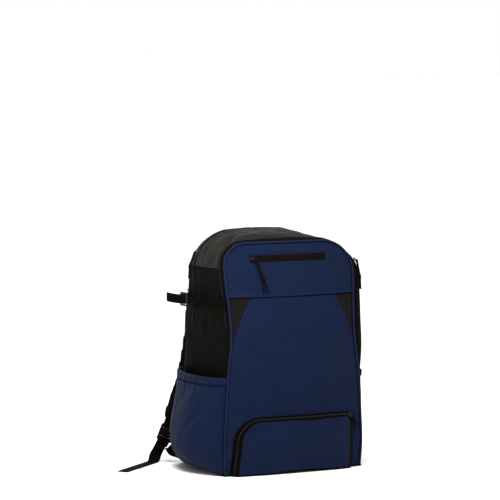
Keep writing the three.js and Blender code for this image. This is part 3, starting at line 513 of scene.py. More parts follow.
def cloth_material(name, rgb, thread=0.0011, sheen=0.02, mottle=0.12, patch=0.03, shine=0.06):
    """Plain-woven coated cloth: crossing threads, a slightly uneven dye and a soft sheen."""
    n = Nodes(name)
    uv = n.weave()
    threads = n.math("MAXIMUM", n.waves(uv, "X", thread), n.waves(uv, "Y", thread))
    fine, broad = n.noise(uv, thread * 3, 3), n.noise(n.place(), patch, 3)
    n.bump(n.scaled(fine, 0.6, threads), 0.25, 0.0004)
    tone = n.scaled(broad, 0.7, n.math("MULTIPLY", fine, 0.3))
    stops = [(0.3, 1 - mottle), (0.7, 1 + mottle)]
    rough = n.scaled(fine, 0.16, 0.74)
    return n.surface(linear(rgb), tone, stops, rough, shine, Sheen_Weight=sheen, Sheen_Roughness=0.5)


def webbing_material(name, rgb):
    """Flat woven webbing: close ribs across it and a chevron of threads."""
    n = Nodes(name)
    uv = n.weave()
    ribs, twill = n.waves(uv, "X", 0.0013), n.waves(uv, "DIAGONAL", 0.0024, 0.6)
    n.bump(n.math("ADD", ribs, twill), 0.35, 0.0004)
    tone = n.scaled(twill, 0.5, n.math("MULTIPLY", n.noise(uv, 0.004, 3), 0.5))
    return n.surface(linear(rgb), tone, [(0.2, 0.72), (0.8, 1.35)], 0.9, 0.02)


def mesh_material(name, rgb):
    """Knitted mesh: small round cells in rows."""
    n = Nodes(name)
    values = {"Vector": n.weave(), "Scale": 1 / 0.0026, "Randomness": 0.15}
    gap = n.add("ShaderNodeTexVoronoi", values)["Distance"]
    n.bump(gap, 0.5, 0.0006)
    return n.surface(linear(rgb), gap, [(0.1, 0.4), (0.55, 1.25)], 0.8, 0.06)


def cord_material(name, rgb):
    """Braided cord: small slanting strands in two tones, partly the braid's own speckle and partly a painted
    highlight that lightens the raised strands.
    """
    n = Nodes(name)
    strands = n.waves(n.weave(), "DIAGONAL", 0.0016, 0.4)
    n.bump(strands, 0.4, 0.0004)
    # painted highlight: the raised strands are made up to 1.8 times lighter, the low ones darker
    return n.surface(linear(rgb), strands, [(0.25, 0.5), (0.75, 1.8)], 0.72, 0.08)


def hard_material(name, rgb, rough, grain, shine=0.12, metallic=0.0):
    """Moulded plastic, thread or plated metal with a fine uneven surface."""
    n = Nodes(name)
    fine = n.noise(n.place(), grain, 4)
    n.bump(fine, 0.25, 0.0001)
    stops = [(0.3, 0.85), (0.7, 1.12)]
    return n.surface(linear(rgb), fine, stops, n.scaled(fine, 0.2, rough - 0.1), shine, Metallic=metallic)


def floor_material(name, tone):
    n = Nodes(name)
    return n.surface((tone,) * 3, n.noise(n.place(), 0.4, 2), [(0.3, 0.99), (0.7, 1.0)], 0.9, 0.1)


TAPE = {"thread": 0.0008, "sheen": 0.0, "mottle": 0.15, "patch": 0.004, "shine": 0.04}
THREAD = {"rough": 0.7, "grain": 0.0006}
LOOKS = {
    cloth_material: {
        "navy_cloth": ((27, 37, 63), {}),
        "navy_piping": ((31, 41, 69), {"sheen": 0.03}),
        # painted shade: the navy cloth darkened for the piping flange's recess
        "dark_navy_cloth": ((17, 21, 36), {"sheen": 0.0, "shine": 0.03}),
        "charcoal_cloth": ((43, 41, 38), {"mottle": 0.28, "patch": 0.012}),
        "insert_cloth": ((33, 29, 29), {"mottle": 0.18, "patch": 0.006}),
        "black_cloth": ((24, 23, 21), {"sheen": 0.0, "shine": 0.04}),
        "zip_tape": ((29, 24, 23), TAPE),
        "pocket_tape": ((22, 19, 19), TAPE),
    },
    mesh_material: {"black_mesh": ((24, 23, 23), {}), "padding_mesh": ((42, 41, 40), {})},
    webbing_material: {"black_webbing": ((26, 25, 23), {})},
    cord_material: {"pull_cord": ((22, 18, 16), {})},
    hard_material: {
        "zip_steel": ((78, 75, 71), {"rough": 0.22, "grain": 0.0012, "metallic": 1.0}),
        "black_plastic": ((28, 27, 26), {"rough": 0.55, "grain": 0.0009, "shine": 0.06}),
        "pale_plastic": ((58, 55, 51), {"rough": 0.5, "grain": 0.0009, "shine": 0.08}),
        "coil_plastic": ((34, 31, 29), {"rough": 0.6, "grain": 0.001}),
        "navy_thread": ((32, 42, 74), THREAD),
        "black_thread": ((34, 32, 30), THREAD),
        "pad_thread": ((60, 58, 55), THREAD | {"rough": 0.8}),
        "gather_thread": ((10, 12, 20), THREAD | {"rough": 0.8, "shine": 0.02}),
    },
}
MATERIALS = {
    name: make(name, rgb, **more) for make, looks in LOOKS.items() for name, (rgb, more) in looks.items()
}

# Making pieces


def put(name, data):
    thing = bpy.data.objects.new(name, data)
    bpy.context.scene.collection.objects.link(thing)
    return thing


def aim(thing, toward):
    thing.rotation_euler = Vector(toward).to_track_quat("-Z", "Y").to_euler()


def lay_weave(mesh, uv):
    """The way the weave runs, from a place in millimetres for each point."""
    layer = mesh.uv_layers.new(name="cloth")
    loops = np.empty(len(mesh.loops), int)
    mesh.loops.foreach_get("vertex_index", loops)
    layer.data.foreach_set("uv", (np.asarray(uv)[loops] * MM).ravel())


def place_piece(name, points, faces, slot, nodes=(), uv=None, material=None, sharp=50):
    """A mesh piece in the part's frame, from points in millimetres."""
    name = f"{name}_dressed" if name in nodes else name
    mesh = bpy.data.meshes.new(name)
    mesh.from_pydata((np.asarray(points) * MM).tolist(), [], [list(map(int, f)) for f in faces])
    mesh.update()
    if uv is not None:
        lay_weave(mesh, uv)
    mesh.polygons.foreach_set("use_smooth", [True] * len(mesh.polygons))
    mesh.set_sharp_from_angle(angle=math.radians(sharp))
    mesh.materials.append(MATERIALS[material or slot])
    piece = put(name, mesh)
    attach(piece, "root")
    if nodes:
        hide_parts(*nodes)
    return piece


def grid_normals(grid):
    return unit(np.cross(np.gradient(grid, axis=0), np.gradient(grid, axis=1)))


def lengths(grid):
    """How far each point of a grid is along its row and along its column."""
    return runs(grid), runs(grid, 1)


def rim_gap(grid):
    """How far each point of a grid is from the grid's rim."""
    u, v = lengths(grid)
    return np.minimum(np.minimum(u, u[-1:] - u), np.minimum(v, v[:, -1:] - v))


def pinch(gap, deep, wide):
    """Cloth drawn in towards a seam."""
    return -deep * bell(gap, wide)


def sewn(grid, soft, calm, deep, wide):
    """Relief of a panel that is calm near its rim and drawn in along it."""
    gap = rim_gap(grid)
    return soft * smooth(gap / calm) + pinch(gap, deep, wide)


def all_cells(grid):
    return np.ones((grid.shape[0] - 1, grid.shape[1] - 1), bool)


def two_sided(grid, outer, inner, keep, way):
    """Points, faces and weave of a sheet with two sides, and a rim round the cells that are kept."""
    nu, nv = outer.shape[:2]
    index = np.arange(nu * nv).reshape(nu, nv)
    a, b, c, d = index[:-1, :-1], index[1:, :-1], index[1:, 1:], index[:-1, 1:]
    top = np.stack([a, b, c, d], -1)[keep]
    faces = [top, top[:, ::-1] + nu * nv]
    around = np.pad(keep, 1)
    for start, end, other in (
        (a, b, around[1:-1, :-2]), (b, c, around[2:, 1:-1]),
        (c, d, around[1:-1, 2:]), (d, a, around[:-2, 1:-1]),
    ):
        rim = keep & ~other
        p, q = start[rim], end[rim]
        faces.append(np.stack([q, p, p + nu * nv, q + nu * nv], -1))
    used, faces = np.unique(np.concatenate(faces)[:, ::way], return_inverse=True)
    points = np.concatenate([outer.reshape(-1, 3), inner.reshape(-1, 3)])
    uv = np.tile(np.stack(lengths(grid), -1).reshape(-1, 2), (2, 1))
    return points[used], faces.reshape(-1, 4), uv[used]


def panel(name, grid, thick, slot, relief=0.0, keep=None, way=1, material=None):
    """A sewn sheet of cloth on a grid, with its relief standing off the grid."""
    normal = grid_normals(grid) * way
    outer = grid + normal * np.broadcast_to(relief, grid.shape[:2])[..., None]
    keep = all_cells(grid) if keep is None else keep
    points, faces, uv = two_sided(grid, outer, outer - normal * thick, keep, way)
    piece = place_piece(name, points, faces, slot, (name,), uv, material)


def loft(rings):
    """A closed skin over a row of rings."""
    rows, count, _ = rings.shape
    index = np.arange(rows * count).reshape(rows, count)
    nxt = np.roll(index, -1, axis=1)
    quads = np.stack([index[:-1], nxt[:-1], nxt[1:], index[1:]], -1).reshape(-1, 4)
    return rings.reshape(-1, 3), [*quads, index[0][::-1], index[-1]]


def merged(meshes):
    """Several lists of points and faces as one."""
    points, faces, start = [], [], 0
    for p, f in meshes:
        points.append(p)
        faces += [[int(i) + start for i in face] for face in f]
        start += len(p)
    return np.concatenate(points), faces


def ring_angles(count):
    return np.linspace(0, TURN, count, endpoint=False)


def ring_weave(line, over):
    """UVs along a line and over each ring on it."""
    return np.stack(np.broadcast_arrays(runs(line)[:, None], over[None]), -1).reshape(-1, 2)


def tube_mesh(line, radius, sides):
    """Rings round a line, closed at both ends."""
    across, up = carried(line)
    angle = ring_angles(sides)[:, None]
    radius = np.broadcast_to(radius, (len(line), sides))[..., None]
    return loft(line[:, None] + radius * (across[:, None] * np.cos(angle) + up[:, None] * np.sin(angle)))


def tube(name, line, radius, sides, slot, nodes, material=None):
    uv = ring_weave(line, ring_angles(sides) * np.mean(radius))
    return place_piece(name, *tube_mesh(line, radius, sides), slot, nodes, uv, material)


WEB_POINTS = 9
WEB_RIB = 0.12


def ribbon(name, line, across, web, node=None):
    """Flat webbing along a line: rounded edges, and ribs along its two faces."""
    along_line = tangents(line)
    across = unit(across - along_line * (across * along_line).sum(-1, keepdims=True))
    out = np.cross(along_line, across)
    a = np.linspace(-1, 1, WEB_POINTS)
    crown = web[1] / 2 * np.sqrt(np.maximum(1 - np.abs(a) ** 8, 0.08)) + WEB_RIB * np.cos(a * 2 * TURN)
    wide, high = web[0] / 2 * np.concatenate([a, a[::-1]]), np.concatenate([crown, -crown[::-1]])
    points, faces = loft(line[:, None] + across[:, None] * wide[:, None] + out[:, None] * high[:, None])
    faces = [np.roll(f[::-1], 1) for f in faces[:-2]] + [f[::-1] for f in faces[-2:]]
    return place_piece(name, points, faces, "black_webbing", (node or name,), ring_weave(line, wide))


SPINDLE_SIDES = 6
SPINDLE = [(-0.5, 0, 0), (0.5, 0, 0)]
SPINDLE[1:1] = [(k, math.cos(a), math.sin(a)) for k in (-0.3, 0.3) for a in ring_angles(SPINDLE_SIDES)]
SPINDLE = np.array(SPINDLE)


def spindles(centres, axis, out, long, radius):
    """Small rounded bars, such as stitches and zip coils, each with its own direction."""
    across = unit(np.cross(axis, out))
    ways = np.stack([axis * long, across * radius, np.cross(across, axis) * radius], 1)
    low, tip = np.arange(1, 1 + SPINDLE_SIDES), len(SPINDLE) - 1
    faces = []
    for k, n in zip(low, np.roll(low, -1)):
        above = (k + SPINDLE_SIDES, n + SPINDLE_SIDES)
        faces += [(0, n, k, k), (k, n, above[1], above[0]), (*above, tip, tip)]
    every = np.array(faces) + np.arange(len(centres))[:, None, None] * len(SPINDLE)
    return (centres[:, None] + SPINDLE @ ways).reshape(-1, 3), every.reshape(-1, 4)


STITCH = {"long": 2.8, "step": 4.0, "radius": 0.42, "sink": 0.1}
GATHER = {"long": 5.4, "step": 8.6, "radius": 0.95, "sink": 0.5, "below": 1}
stitched = {"navy": [], "black": [], "pad": [], "gather": []}


def stitch(thread, line, out, size=STITCH):
    """A row of stitches along a line on a surface; out looks away from the cloth."""
    line, out = paced(line, out, size["step"])
    at = line + out * (size["radius"] - size["sink"])
    stitched[thread].append(spindles(at, tangents(line), out, size["long"], size["radius"]))


def place_spindles(name, groups, slot, material):
    points, faces = merged(groups)
    faces = [f[:3] if f[2] == f[3] else f for f in faces]
    return place_piece(name, points, faces, slot, material=material, sharp=80)


COIL_STEP = 1.7
COIL_SLANT = 0.25


def coil(name, line, out, off, long, radius):
    """A zip's coil: slanting bars along the middle of its tape."""
    line, out = paced(line, out, COIL_STEP)
    slant = unit(np.cross(tangents(line), out) + COIL_SLANT * tangents(line))
    place_spindles(name, [spindles(line + out * off, slant, out, long, radius)], "zip_tape", "coil_plastic")


# Camera, as the photograph was taken

EYE = (-2.4059, -4.8316, 0.9066)
TURN_DEG = 26.0
FOCAL_PX, IMAGE_PX, DROP_PX = 2600.0, 500.0, 220.0
SENSOR = 36.0

camera = put("camera", bpy.data.cameras.new("camera"))
camera.data.sensor_width = SENSOR
camera.data.lens = SENSOR * FOCAL_PX / IMAGE_PX
camera.data.clip_end = 50
camera.location = EYE
tilt, turn = math.atan2(DROP_PX, FOCAL_PX), math.radians(TURN_DEG)
aim(camera, (math.sin(turn) * math.cos(tilt), math.cos(turn) * math.cos(tilt), -math.sin(tilt)))
bpy.context.scene.camera = camera

# Straps, cords and their buckles

BEND_INSET = 1.0
WEB_STEP = 2.0
LEAD = {"near": 4.0, "far": 13.0, "off": 0.6}
LOOP_CLEAR = 0.7
SEWN_IN = 12.0
TWIST_FROM = 0.6
WALL_OFF = 1.6


def frame_at(origin, run, out):
    """Directions of a flat thing that lies along run and faces out."""
    out = unit(out)
    run = unit(run - out * np.dot(run, out))
    return {"origin": np.asarray(origin, float), "run": run, "out": out, "across": np.cross(run, out)}


def in_frame(f, run, out, across=0.0):
    return f["origin"] + f["run"] * run + f["out"] * out + f["across"] * across


def turn_round(size, side, f):
    """Webbing bent round a buckle's end bar, from the bag's side to the outer side."""
    centre, bend = side * (size["tall"] / 2 - size["bar"] + BEND_INSET), size["turn"]
    angles = np.linspace(0, math.pi, 9)
    return [in_frame(f, centre - side * bend * math.sin(a), -bend * math.cos(a)) for a in angles]


def squarish(wide, tall, power, count=16):
    """Points round an outline between an ellipse and a rectangle."""
    c, s = np.cos(ring_angles(count)), np.sin(ring_angles(count))
    size = (np.abs(c) ** power + np.abs(s) ** power) ** (-1 / power)
    return np.stack(np.broadcast_arrays(wide / 2 * c * size, tall / 2 * s * size), -1)


def moulded_bar(start, end, across, wide, thick):
    """A bar of moulded plastic with softened edges and ends."""
    run = unit(end - start)
    out = np.cross(run, across)
    long = math.dist(start, end)
    outline_at = squarish(wide, thick, 5)
    rings = []
    for place, size in ((0, 0.72), (0.3, 0.92), (0.9, 1), (long - 0.9, 1), (long - 0.3, 0.92), (long, 0.72)):
        flat = outline_at * size
        rings.append(start + run * place + across * flat[:, :1] + out * flat[:, 1:])
    return loft(np.array(rings))


def buckle(name, f, size, material=None):
    """A flat frame of two rails and three bars, with ridges on its end bars to grip."""
    tall, thick, grip, slot = (size[k] for k in ("tall", "thick", "grip", "slot"))
    rail = (size["wide"] - slot) / 2
    reach, end = slot / 2 + rail * 0.7, (tall - grip) / 2
    parts = []
    for side in (-1, 1):
        ends = [in_frame(f, way * tall / 2, 0, side * (size["wide"] - rail) / 2) for way in (-1, 1)]
        parts.append(moulded_bar(*ends, f["across"], rail, thick))
    cross = ((-1, grip), (0, size["middle"]), (1, grip))
    bars = [(k * end, 0, reach, wide, thick * 0.9) for k, wide in cross]
    ridges = [way * end + row * grip for way in (-1, 1) for row in (-0.22, 0.22)]
    bars += [(place, thick * 0.44, slot * 0.42, grip * 0.2, 0.7) for place in ridges]
    for place, off, half, wide, deep in bars:
        ends = [in_frame(f, place, off, way * half) for way in (-1, 1)]
        parts.append(moulded_bar(*ends, f["run"], wide, deep))
    place_piece(name, *merged(parts), "black_plastic", (name,), material=material, sharp=40)


def pad_spots(name):
    return np.stack([PADS[k] for k in (name, "y", "z")], -1)


def shoulder_webbing(name):
    """One shoulder strap's lower half: the lock, its loop, the webbing from its anchor and the free tail."""
    spots = pad_spots(name)
    down = unit(spots[-1] - spots[-2])
    hang = LOCK["drop"] + LOCK["tall"] / 2
    lock = frame_at(spots[-1] + down * hang, down, REAR)
    anchor, tail, bend = ANCHORS[name], TAILS[name], LOCK["turn"]
    near, far = LOCK["tall"] / 2 + LEAD["near"], LOCK["tall"] / 2 + LEAD["far"]
    path = [
        *anchor, in_frame(lock, far, -bend - LEAD["off"]), in_frame(lock, near, -bend),
        *turn_round(LOCK, 1, lock), in_frame(lock, near, bend), *tail,
    ]
    line, place = spline(path, WEB_STEP)
    along_line = tangents(line)
    before, turned = len(anchor), len(path) - len(tail) - 1
    flat = unit(np.cross(REAR, along_line))
    lay = np.stack([-along_line[:, 1], along_line[:, 0], 0 * place], -1)
    lay = unit(lay) * np.sign(lay[-1] @ lock["across"])
    start = smooth(place / before)[:, None]
    end = smooth((place - turned - TWIST_FROM) / (2 - TWIST_FROM))[:, None]
    across = np.where(
        place[:, None] < before, mix(flat, lock["across"], start), mix(lock["across"], lay, end),
    )
    cut = int(np.searchsorted(place, turned))
    node = f"strap_webbing_{name}"
    ribbon(node, line[: cut + 1], across[: cut + 1], WEB)
    free = ribbon(f"strap_tail_{name}", line[cut:], across[cut:], WEB, node)
    top = LOOP_CLEAR - hang
    half = top / 2 - LOCK["tall"] / 4
    loop = [(top - SEWN_IN, 1), (top, bend * 0.8), (half, bend)]
    inner, outer = ([in_frame(lock, run, way * off) for run, off in loop] for way in (-1, 1))
    line, _ = spline([*inner, *turn_round(LOCK, -1, lock), *outer[::-1]], WEB_STEP)
    ribbon(f"lock_loop_{name}", line, lock["across"], WEB)
    buckle(f"ladder_lock_{name}", lock, LOCK)


for name, _ in SIDES:
    shoulder_webbing(name)


def on_left(z, v):
    return wall_point(-1, z, np.array(v)) - LEVEL * WALL_OFF


glide = frame_at(GLIDE_AT, np.array([-GLIDE_LEAN, 1, 0]), np.array([-1, -GLIDE_LEAN, 0]))
path = [on_left(*spot) for spot in STRAP_SEWN] + STRAP_RUN
path += [in_frame(glide, *spot) for spot in STRAP_WEAVE]
line, _ = spline(path, WEB_STEP)
ribbon("bat_strap", line, UP, BAT_WEB)
path = [*(on_left(*spot) for spot in LOOP_SEWN), LOOP_RUN, *(in_frame(glide, *spot) for spot in LOOP_WEAVE)]
path += [*turn_round(GLIDE, 1, glide), in_frame(glide, *LOOP_END)]
ribbon("bat_strap_anchor", spline(path, WEB_STEP)[0], UP, BAT_WEB)
buckle("bat_strap_buckle", glide, GLIDE, "pale_plastic")

# Zip sliders and their cord pulls

BRIDGE = {"half": 4.2, "rise": 1.5, "sink": 0.3, "radius": 0.75}
SLIDER_TAPER = 0.16
NECK = 0.4


def slider(name, at, run, out):
    """A metal slider: two plates on a neck, with a bridge that holds the cord."""
    half, plate = SLIDER["thick"] / 2, SLIDER["plate"]
    f = frame_at(at + unit(out) * (SLIDER["seat"] + half), run, out)
    edge = squarish(SLIDER["wide"], SLIDER["long"], 3.2, 28)
    edge[:, 0] *= 1 - SLIDER_TAPER * edge[:, 1] / SLIDER["long"] * 2
    flat = f["across"] * edge[:, :1] + f["run"] * edge[:, 1:]
    parts = []
    for low, high, size in ((-half, plate - half, 1), (half - plate, half, 1), (-plate, plate, NECK)):
        levels = [(0.9, low), (0.98, low + 0.15), (1, low + 0.4)]
        levels += [(k, low + high - n) for k, n in levels[::-1]]
        parts.append(loft(np.array([f["origin"] + flat * k * size + f["out"] * n for k, n in levels])))
    over = np.linspace(-BRIDGE["half"], BRIDGE["half"], 15)
    rise = half - BRIDGE["sink"] + BRIDGE["rise"] * np.sqrt(np.maximum(1 - (over / BRIDGE["half"]) ** 4, 0))
    bridge = np.array([in_frame(f, a, n) for a, n in zip(over, rise)])
    parts.append(tube_mesh(bridge, BRIDGE["radius"], 10))
    place_piece(name, *merged(parts), "zip_steel", (name,), sharp=40)
    return f


def cord_top(f, clear, run, across=0.0):
    return in_frame(f, run, SLIDER["thick"] / 2 + clear + CORD["radius"], across)


def pull(name, top, knot, tails, apart, spread=1.0):
    """A doubled cord: two strands from the slider to a wrapped knot, and two short tails below it."""
    apex = top - (knot - top) * CORD["over"]
    down = unit(knot - top)
    apart = unit(apart - down * np.dot(apart, down))
    out = np.cross(down, apart)
    angle = np.linspace(0, TURN * KNOT["turns"], 90)[:, None]
    wraps = knot + np.linspace(-0.5, 0.5, 90)[:, None] * KNOT["long"] * down
    wraps = wraps + KNOT["wide"] * np.cos(angle) * apart + KNOT["deep"] * np.sin(angle) * out
    band = tube(f"{name}_knot", wraps, KNOT["radius"], 8, "pull_cord", (name,))
    for letter, way, tail in (("a", apart, tails[0]), ("b", -apart, tails[1])):
        path = [
            apex + way * 0.6, top + way * CORD["apart"] * spread,
            (top + knot) / 2 + way * CORD["wide"] * spread, knot + way * CORD["apart"], tail,
        ]
        line, _ = spline(path, 1.2)
        strand = tube(f"{name}_{letter}", line, CORD["radius"], 10, "pull_cord", (name,))


LIP_RUN = SLIDER["long"] / 2 - SLIDER["lip"]
LIP_ACROSS = SLIDER["wide"] / 2 - SLIDER["lip"]


def front_spot(x, z, off=0.0):
    return on_front(np.array(float(x)), np.array(float(z)), off)


def front_tails(spots):
    return [front_spot(x, z, CORD["tail"]) for x, z in spots]


x, z = POCKET_PULL["slider"]
spot = front_spot(x, z)
right, up = front_spot(x + 1, z) - spot, front_spot(x, z + 1) - spot
held = slider("pocket_zip_slider", spot, right, np.cross(right, up))
pull(
    "pocket_zip_pull", cord_top(held, 0.4, LIP_ACROSS, LIP_ACROSS),
    front_spot(*POCKET_PULL["knot"], CORD["lie"]), front_tails(POCKET_PULL["tails"]), LEVEL,
)


def cell_slider(name, cell):
    """A slider on one cell of a zip: the cell's corners run along the zip and across it."""
    run = cell[2] - cell[0]
    return slider(name, np.mean(cell, axis=0), run, np.cross(run, cell[1] - cell[0]))


cell = [pod_band(np.array(1 + (pod_turn(1) - 1) * k / 11), v) for k in (10, 9) for v in (0.5, 1)]
held = cell_slider("lower_pocket_slider", cell)
pull(
    "lower_pocket_pull", cord_top(held, 0.5, SLIDER["long"] / 2),
    front_spot(*POD_PULL["knot"], POD_PULL["off"]), front_tails(POD_PULL["tails"]), -held["across"],
)

for name, cell_ts, zip_edge, off in GUSSET_PULLS:
    cell = [gusset(t, w) for t in cell_ts for w in (zip_edge[0] + ZIP_SEAM, zip_edge[1] - ZIP_SEAM)]
    held = cell_slider(f"{name}_slider", cell)
    at = np.mean(cell_ts)
    side = np.sign(at)
    full = outline_length(FRONT_TOP, along(FRONT_EDGE, FRONT_TOP, "half"), float(sided(FRONT_RADIUS, at)))

    def drop(length, clear, swing):
        """A place on the pull, below its slider and clear of the cloth there."""
        place = at + side * length / full
        patch = gusset(place + np.array([[-0.004], [0.004]]), np.array([zip_edge]))
        return gusset(place, np.mean(zip_edge)) + grid_normals(patch)[0, 0] * clear + REAR * swing

    pull(
        f"{name}_pull", cord_top(held, 0.9, side * LIP_RUN), drop(GUSSET_PULL["knot"], off[0], 0),
        [drop(GUSSET_PULL["tails"], off[1], way * GUSSET_PULL["swing"]) for way in (1, -1)], REAR,
        GUSSET_PULL["spread"],
    )

# Gusset: side panels, top panels and the two zips

SIDE_ROWS, DEPTH_COLUMNS, TOP_ROWS, ZIP_ROWS = 96, 70, 130, 260
SIDE_FOLDS = [((430, 60), (250, 110), 12, -2.2), ((400, 150), (300, 60), 9, 1.8)]
TOP_DENTS = [((40, 6), (100, 44), 11, -7.5), ((70, 4), (130, 30), 9, 3)]
SEAM_SINK = 0.2
TOP_STITCH = 0.012

stops = [0, *FRONT_ZIP, *REAR_ZIP, 1]
ws = [np.linspace(a, b, max(3, round(DEPTH_COLUMNS * (b - a)) + 1))[:-1] for a, b in zip(stops, stops[1:])]
ws = np.concatenate([*ws, [1]])
middles = (ws[1:] + ws[:-1]) / 2
in_zip = np.any([(middles > low) & (middles < high) for low, high in (FRONT_ZIP, REAR_ZIP)], axis=0)
zip_share = np.min([np.abs(ws - edge) for edge in (*FRONT_ZIP, *REAR_ZIP)], axis=0)
for name, side in SIDES:
    ts = np.concatenate([np.linspace(1, ZIP_END, SIDE_ROWS), np.linspace(ZIP_END, TOP_SPLIT, 30)[1:]])
    ts = np.sort(ts * side)
    grid = gusset(ts[:, None], ws[None])
    u, v = lengths(grid)
    open_zip = (np.abs((ts[1:] + ts[:-1]) / 2)[:, None] < ZIP_END) & in_zip[None]
    height = grid[..., 2]
    folds = bumps(u, v, (1.6, 55, 11 + side), (0.7, 18, 21 + side)) + creases(height, v, SIDE_FOLDS)
    slit = np.where(np.abs(ts)[:, None] < ZIP_END, pinch(zip_share * v[:, -1:], 0.5, 4), 0)
    relief = sewn(grid, folds * smooth((height - 8) / 30), 22, 0.9, 3) + slit - SEAM_SINK
    panel(f"side_panel_{name}", grid, CLOTH, "black_cloth", relief, ~open_zip)

ts = np.linspace(-TOP_SPLIT + ZIP_SEAM, TOP_SPLIT - ZIP_SEAM, TOP_ROWS)
for name, low, high, count in (
    ("front", 0, FRONT_ZIP[0], 8), ("middle", FRONT_ZIP[1], REAR_ZIP[0], 66), ("rear", REAR_ZIP[1], 1, 14),
):
    grid = gusset(ts[:, None], np.linspace(low, high, count)[None])
    u, v = lengths(grid)
    sag = 2.2 * uneven(u * 0.45, v, 26, 31) + 1.2 * uneven(u * 0.6, v, 11, 32)
    dent = creases(u, v, TOP_DENTS if name == "middle" else [])
    relief = sewn(grid, sag + dent, 16, 0.7, 3) - SEAM_SINK
    slot = "black_cloth" if name == "front" else "charcoal_cloth"
    panel(f"top_panel_{name}", grid, CLOTH, slot, relief)
    for w, way in ((low, 1), (high, -1)):
        if 0 < w < 1:
            rows = gusset(ts[:, None], np.array([[w, w + way * TOP_STITCH]]))
            stitch("black", rows[:, 1], grid_normals(rows)[:, 0] * way)

ts = np.linspace(-ZIP_END + ZIP_SEAM, ZIP_END - ZIP_SEAM, ZIP_ROWS)
for name, (low, high) in (("front", FRONT_ZIP), ("rear", REAR_ZIP)):
    grid = gusset(ts[:, None], np.linspace(low + ZIP_SEAM, high - ZIP_SEAM, 9)[None])
    panel(f"{name}_zip", grid, TAPE_THICK, "zip_tape", -0.5)
    coil(f"{name}_zip_coil", gusset(ts, (low + high) / 2), grid_normals(grid)[:, 4], 0.2, 5.2, 0.72)

# Back and base


def back_edge(side):
    """The back outline from one foot to the start of the level top."""
    share = top_share(BACK_TOP, along(BACK_EDGE, BACK_TOP, "half"), float(sided(BACK_RADIUS, side)))
    return back_arch(side * np.linspace(1, share, 150))


grid = mix(back_edge(-1)[None], back_edge(1)[None], np.linspace(0, 1, 100)[:, None, None])
u, v = lengths(grid)
gap = rim_gap(grid)
puff = 1.4 * smooth(gap / 30) + 0.7 * uneven(u, v, 40, 41) * smooth(gap / 20) + pinch(gap, 2.4, 5)
outer = grid + REAR * (BACK_PAD + puff[..., None])
points, faces, uv = two_sided(grid, outer, grid, all_cells(grid), -1)
back = place_piece("back_panel", points, faces, "black_cloth", ("back_panel",), uv, "padding_mesh")
line = back_arch(np.linspace(-1, 1, 239), BACK_BORDER) + REAR * (BACK_PAD + 0.3)
stitch("pad", line[line[:, 2] > FOOT + BACK_BORDER], REAR)

xs, ys = np.linspace(-1, 1, 90), np.linspace(0, 1, 60)
foot_front, foot_back = front_arch(1.0), back_arch(1.0)
x_front = xs * (foot_front[0] + PIPE_RADIUS)
inside = np.clip(x_front, -foot_front[0] + PIPE_ROOM, foot_front[0] - PIPE_ROOM)
raised = smooth((pod_reach(inside, FOOT) - np.abs(inside)) / POD["band"]) * POD["rise"]
y_front = front_depth(inside, np.full_like(inside, FOOT)) - raised - SEAM_GAP
grid = np.stack([
    mix(x_front[:, None], xs[:, None] * foot_back[0], ys), mix(y_front[:, None], foot_back[1] + BACK_PAD, ys),
    BASE_THICK + bottom_arch(x_front, FOOT)[:, None] * (1 - smooth(ys / 0.35)),
], -1)
panel("base_panel", grid, BASE_THICK, "black_cloth")

# Front panels

FRONT_FOLDS = [
    ((-150, 150), (-110, 190), 12, -1.8), ((-148, 120), (-120, 138), 8, -1.2),
    ((90, 455), (140, 400), 7, 0.9), ((75, 452), (135, 385), 6, -0.8), ((-120, 135), (120, 135), 16, -1.6),
]
TOP_EDGE = FRONT_TOP - PIPE_ROOM
POD_LIP = POD["top"] + SEAM_GAP
COLUMNS_EASE, COLUMNS_SHARE = 100.0, 0.7
TOP_COLUMNS_SHARE = 0.85


def front_relief(x, z):
    """Soft unevenness of the front cloth, the same on every panel of it."""
    return bumps(x + 300, z, (1.1, 85, 51), (0.35, 30, 52)) + creases(x, z, FRONT_FOLDS)


def spread(stops, counts):
    """Columns between the stops of each row."""
    parts = [mix(a, b, np.linspace(0, 1, n + 1)[:-1, None]) for a, b, n in zip(stops, stops[1:], counts)]
    return np.concatenate([*parts, stops[-1][None]])


def front_panel(name, x, z, keep, extra):
    z = np.broadcast_to(z, x.shape)
    grid = on_front(x, z)
    panel(name, grid, CLOTH, "navy_cloth", sewn(grid, front_relief(x, z), 14, 0.8, 2.6) + extra, keep)


def outside(low, value, high):
    """How far a value is outside its limits."""
    return np.maximum(np.maximum(low - value, value - high), 0)


z = np.concatenate([
    np.linspace(SEAM_HEIGHT + SEAM_HALF, SLOT["low"], 34), np.linspace(SLOT["low"], SLOT["high"], 8)[1:],
    SLOT["high"] + (TOP_EDGE - SLOT["high"]) * np.sin(np.linspace(0, QUARTER, 17))[1:],
])
left, right = -front_reach(-1.0, z), front_reach(1.0, z)
s = smooth((z - SLOT["high"]) / (TOP_EDGE - SLOT["high"]))
inner = [mix(SLOT[name], TOP_COLUMNS_SHARE * edge, s) for name, edge in (("left", left), ("right", right))]
x = spread([left, *inner, right], (16, 60, 16))
keep = all_cells(x)
keep[16:76, 33:40] = False
slot_gap = np.hypot(outside(SLOT["left"], x, SLOT["right"]), outside(SLOT["low"], z, SLOT["high"]))
welt = WELT["rise"] * bell(z - SEAM_HEIGHT - WELT["at"], WELT["wide"])
front_panel("front_panel_upper", x, z, keep, pinch(slot_gap, 0.6, 2.5) + welt)


def under_hem(z):
    """The cloth below the hem of the upper panel dips under it."""
    return -WELT["rise"] * smooth(1 - (SEAM_HEIGHT - z) / (2 * WELT["wide"]))


def insert_edge(z):
    s = np.clip((SEAM_HEIGHT - z) / (SEAM_HEIGHT - INSERT_TIP), 0, 1)
    wide = along(FRONT_EDGE, INSERT_TIP, "half") - PIPE_ROOM - INSERT_INNER
    return INSERT_INNER + wide * (s + INSERT_BEND * s * (1 - s))


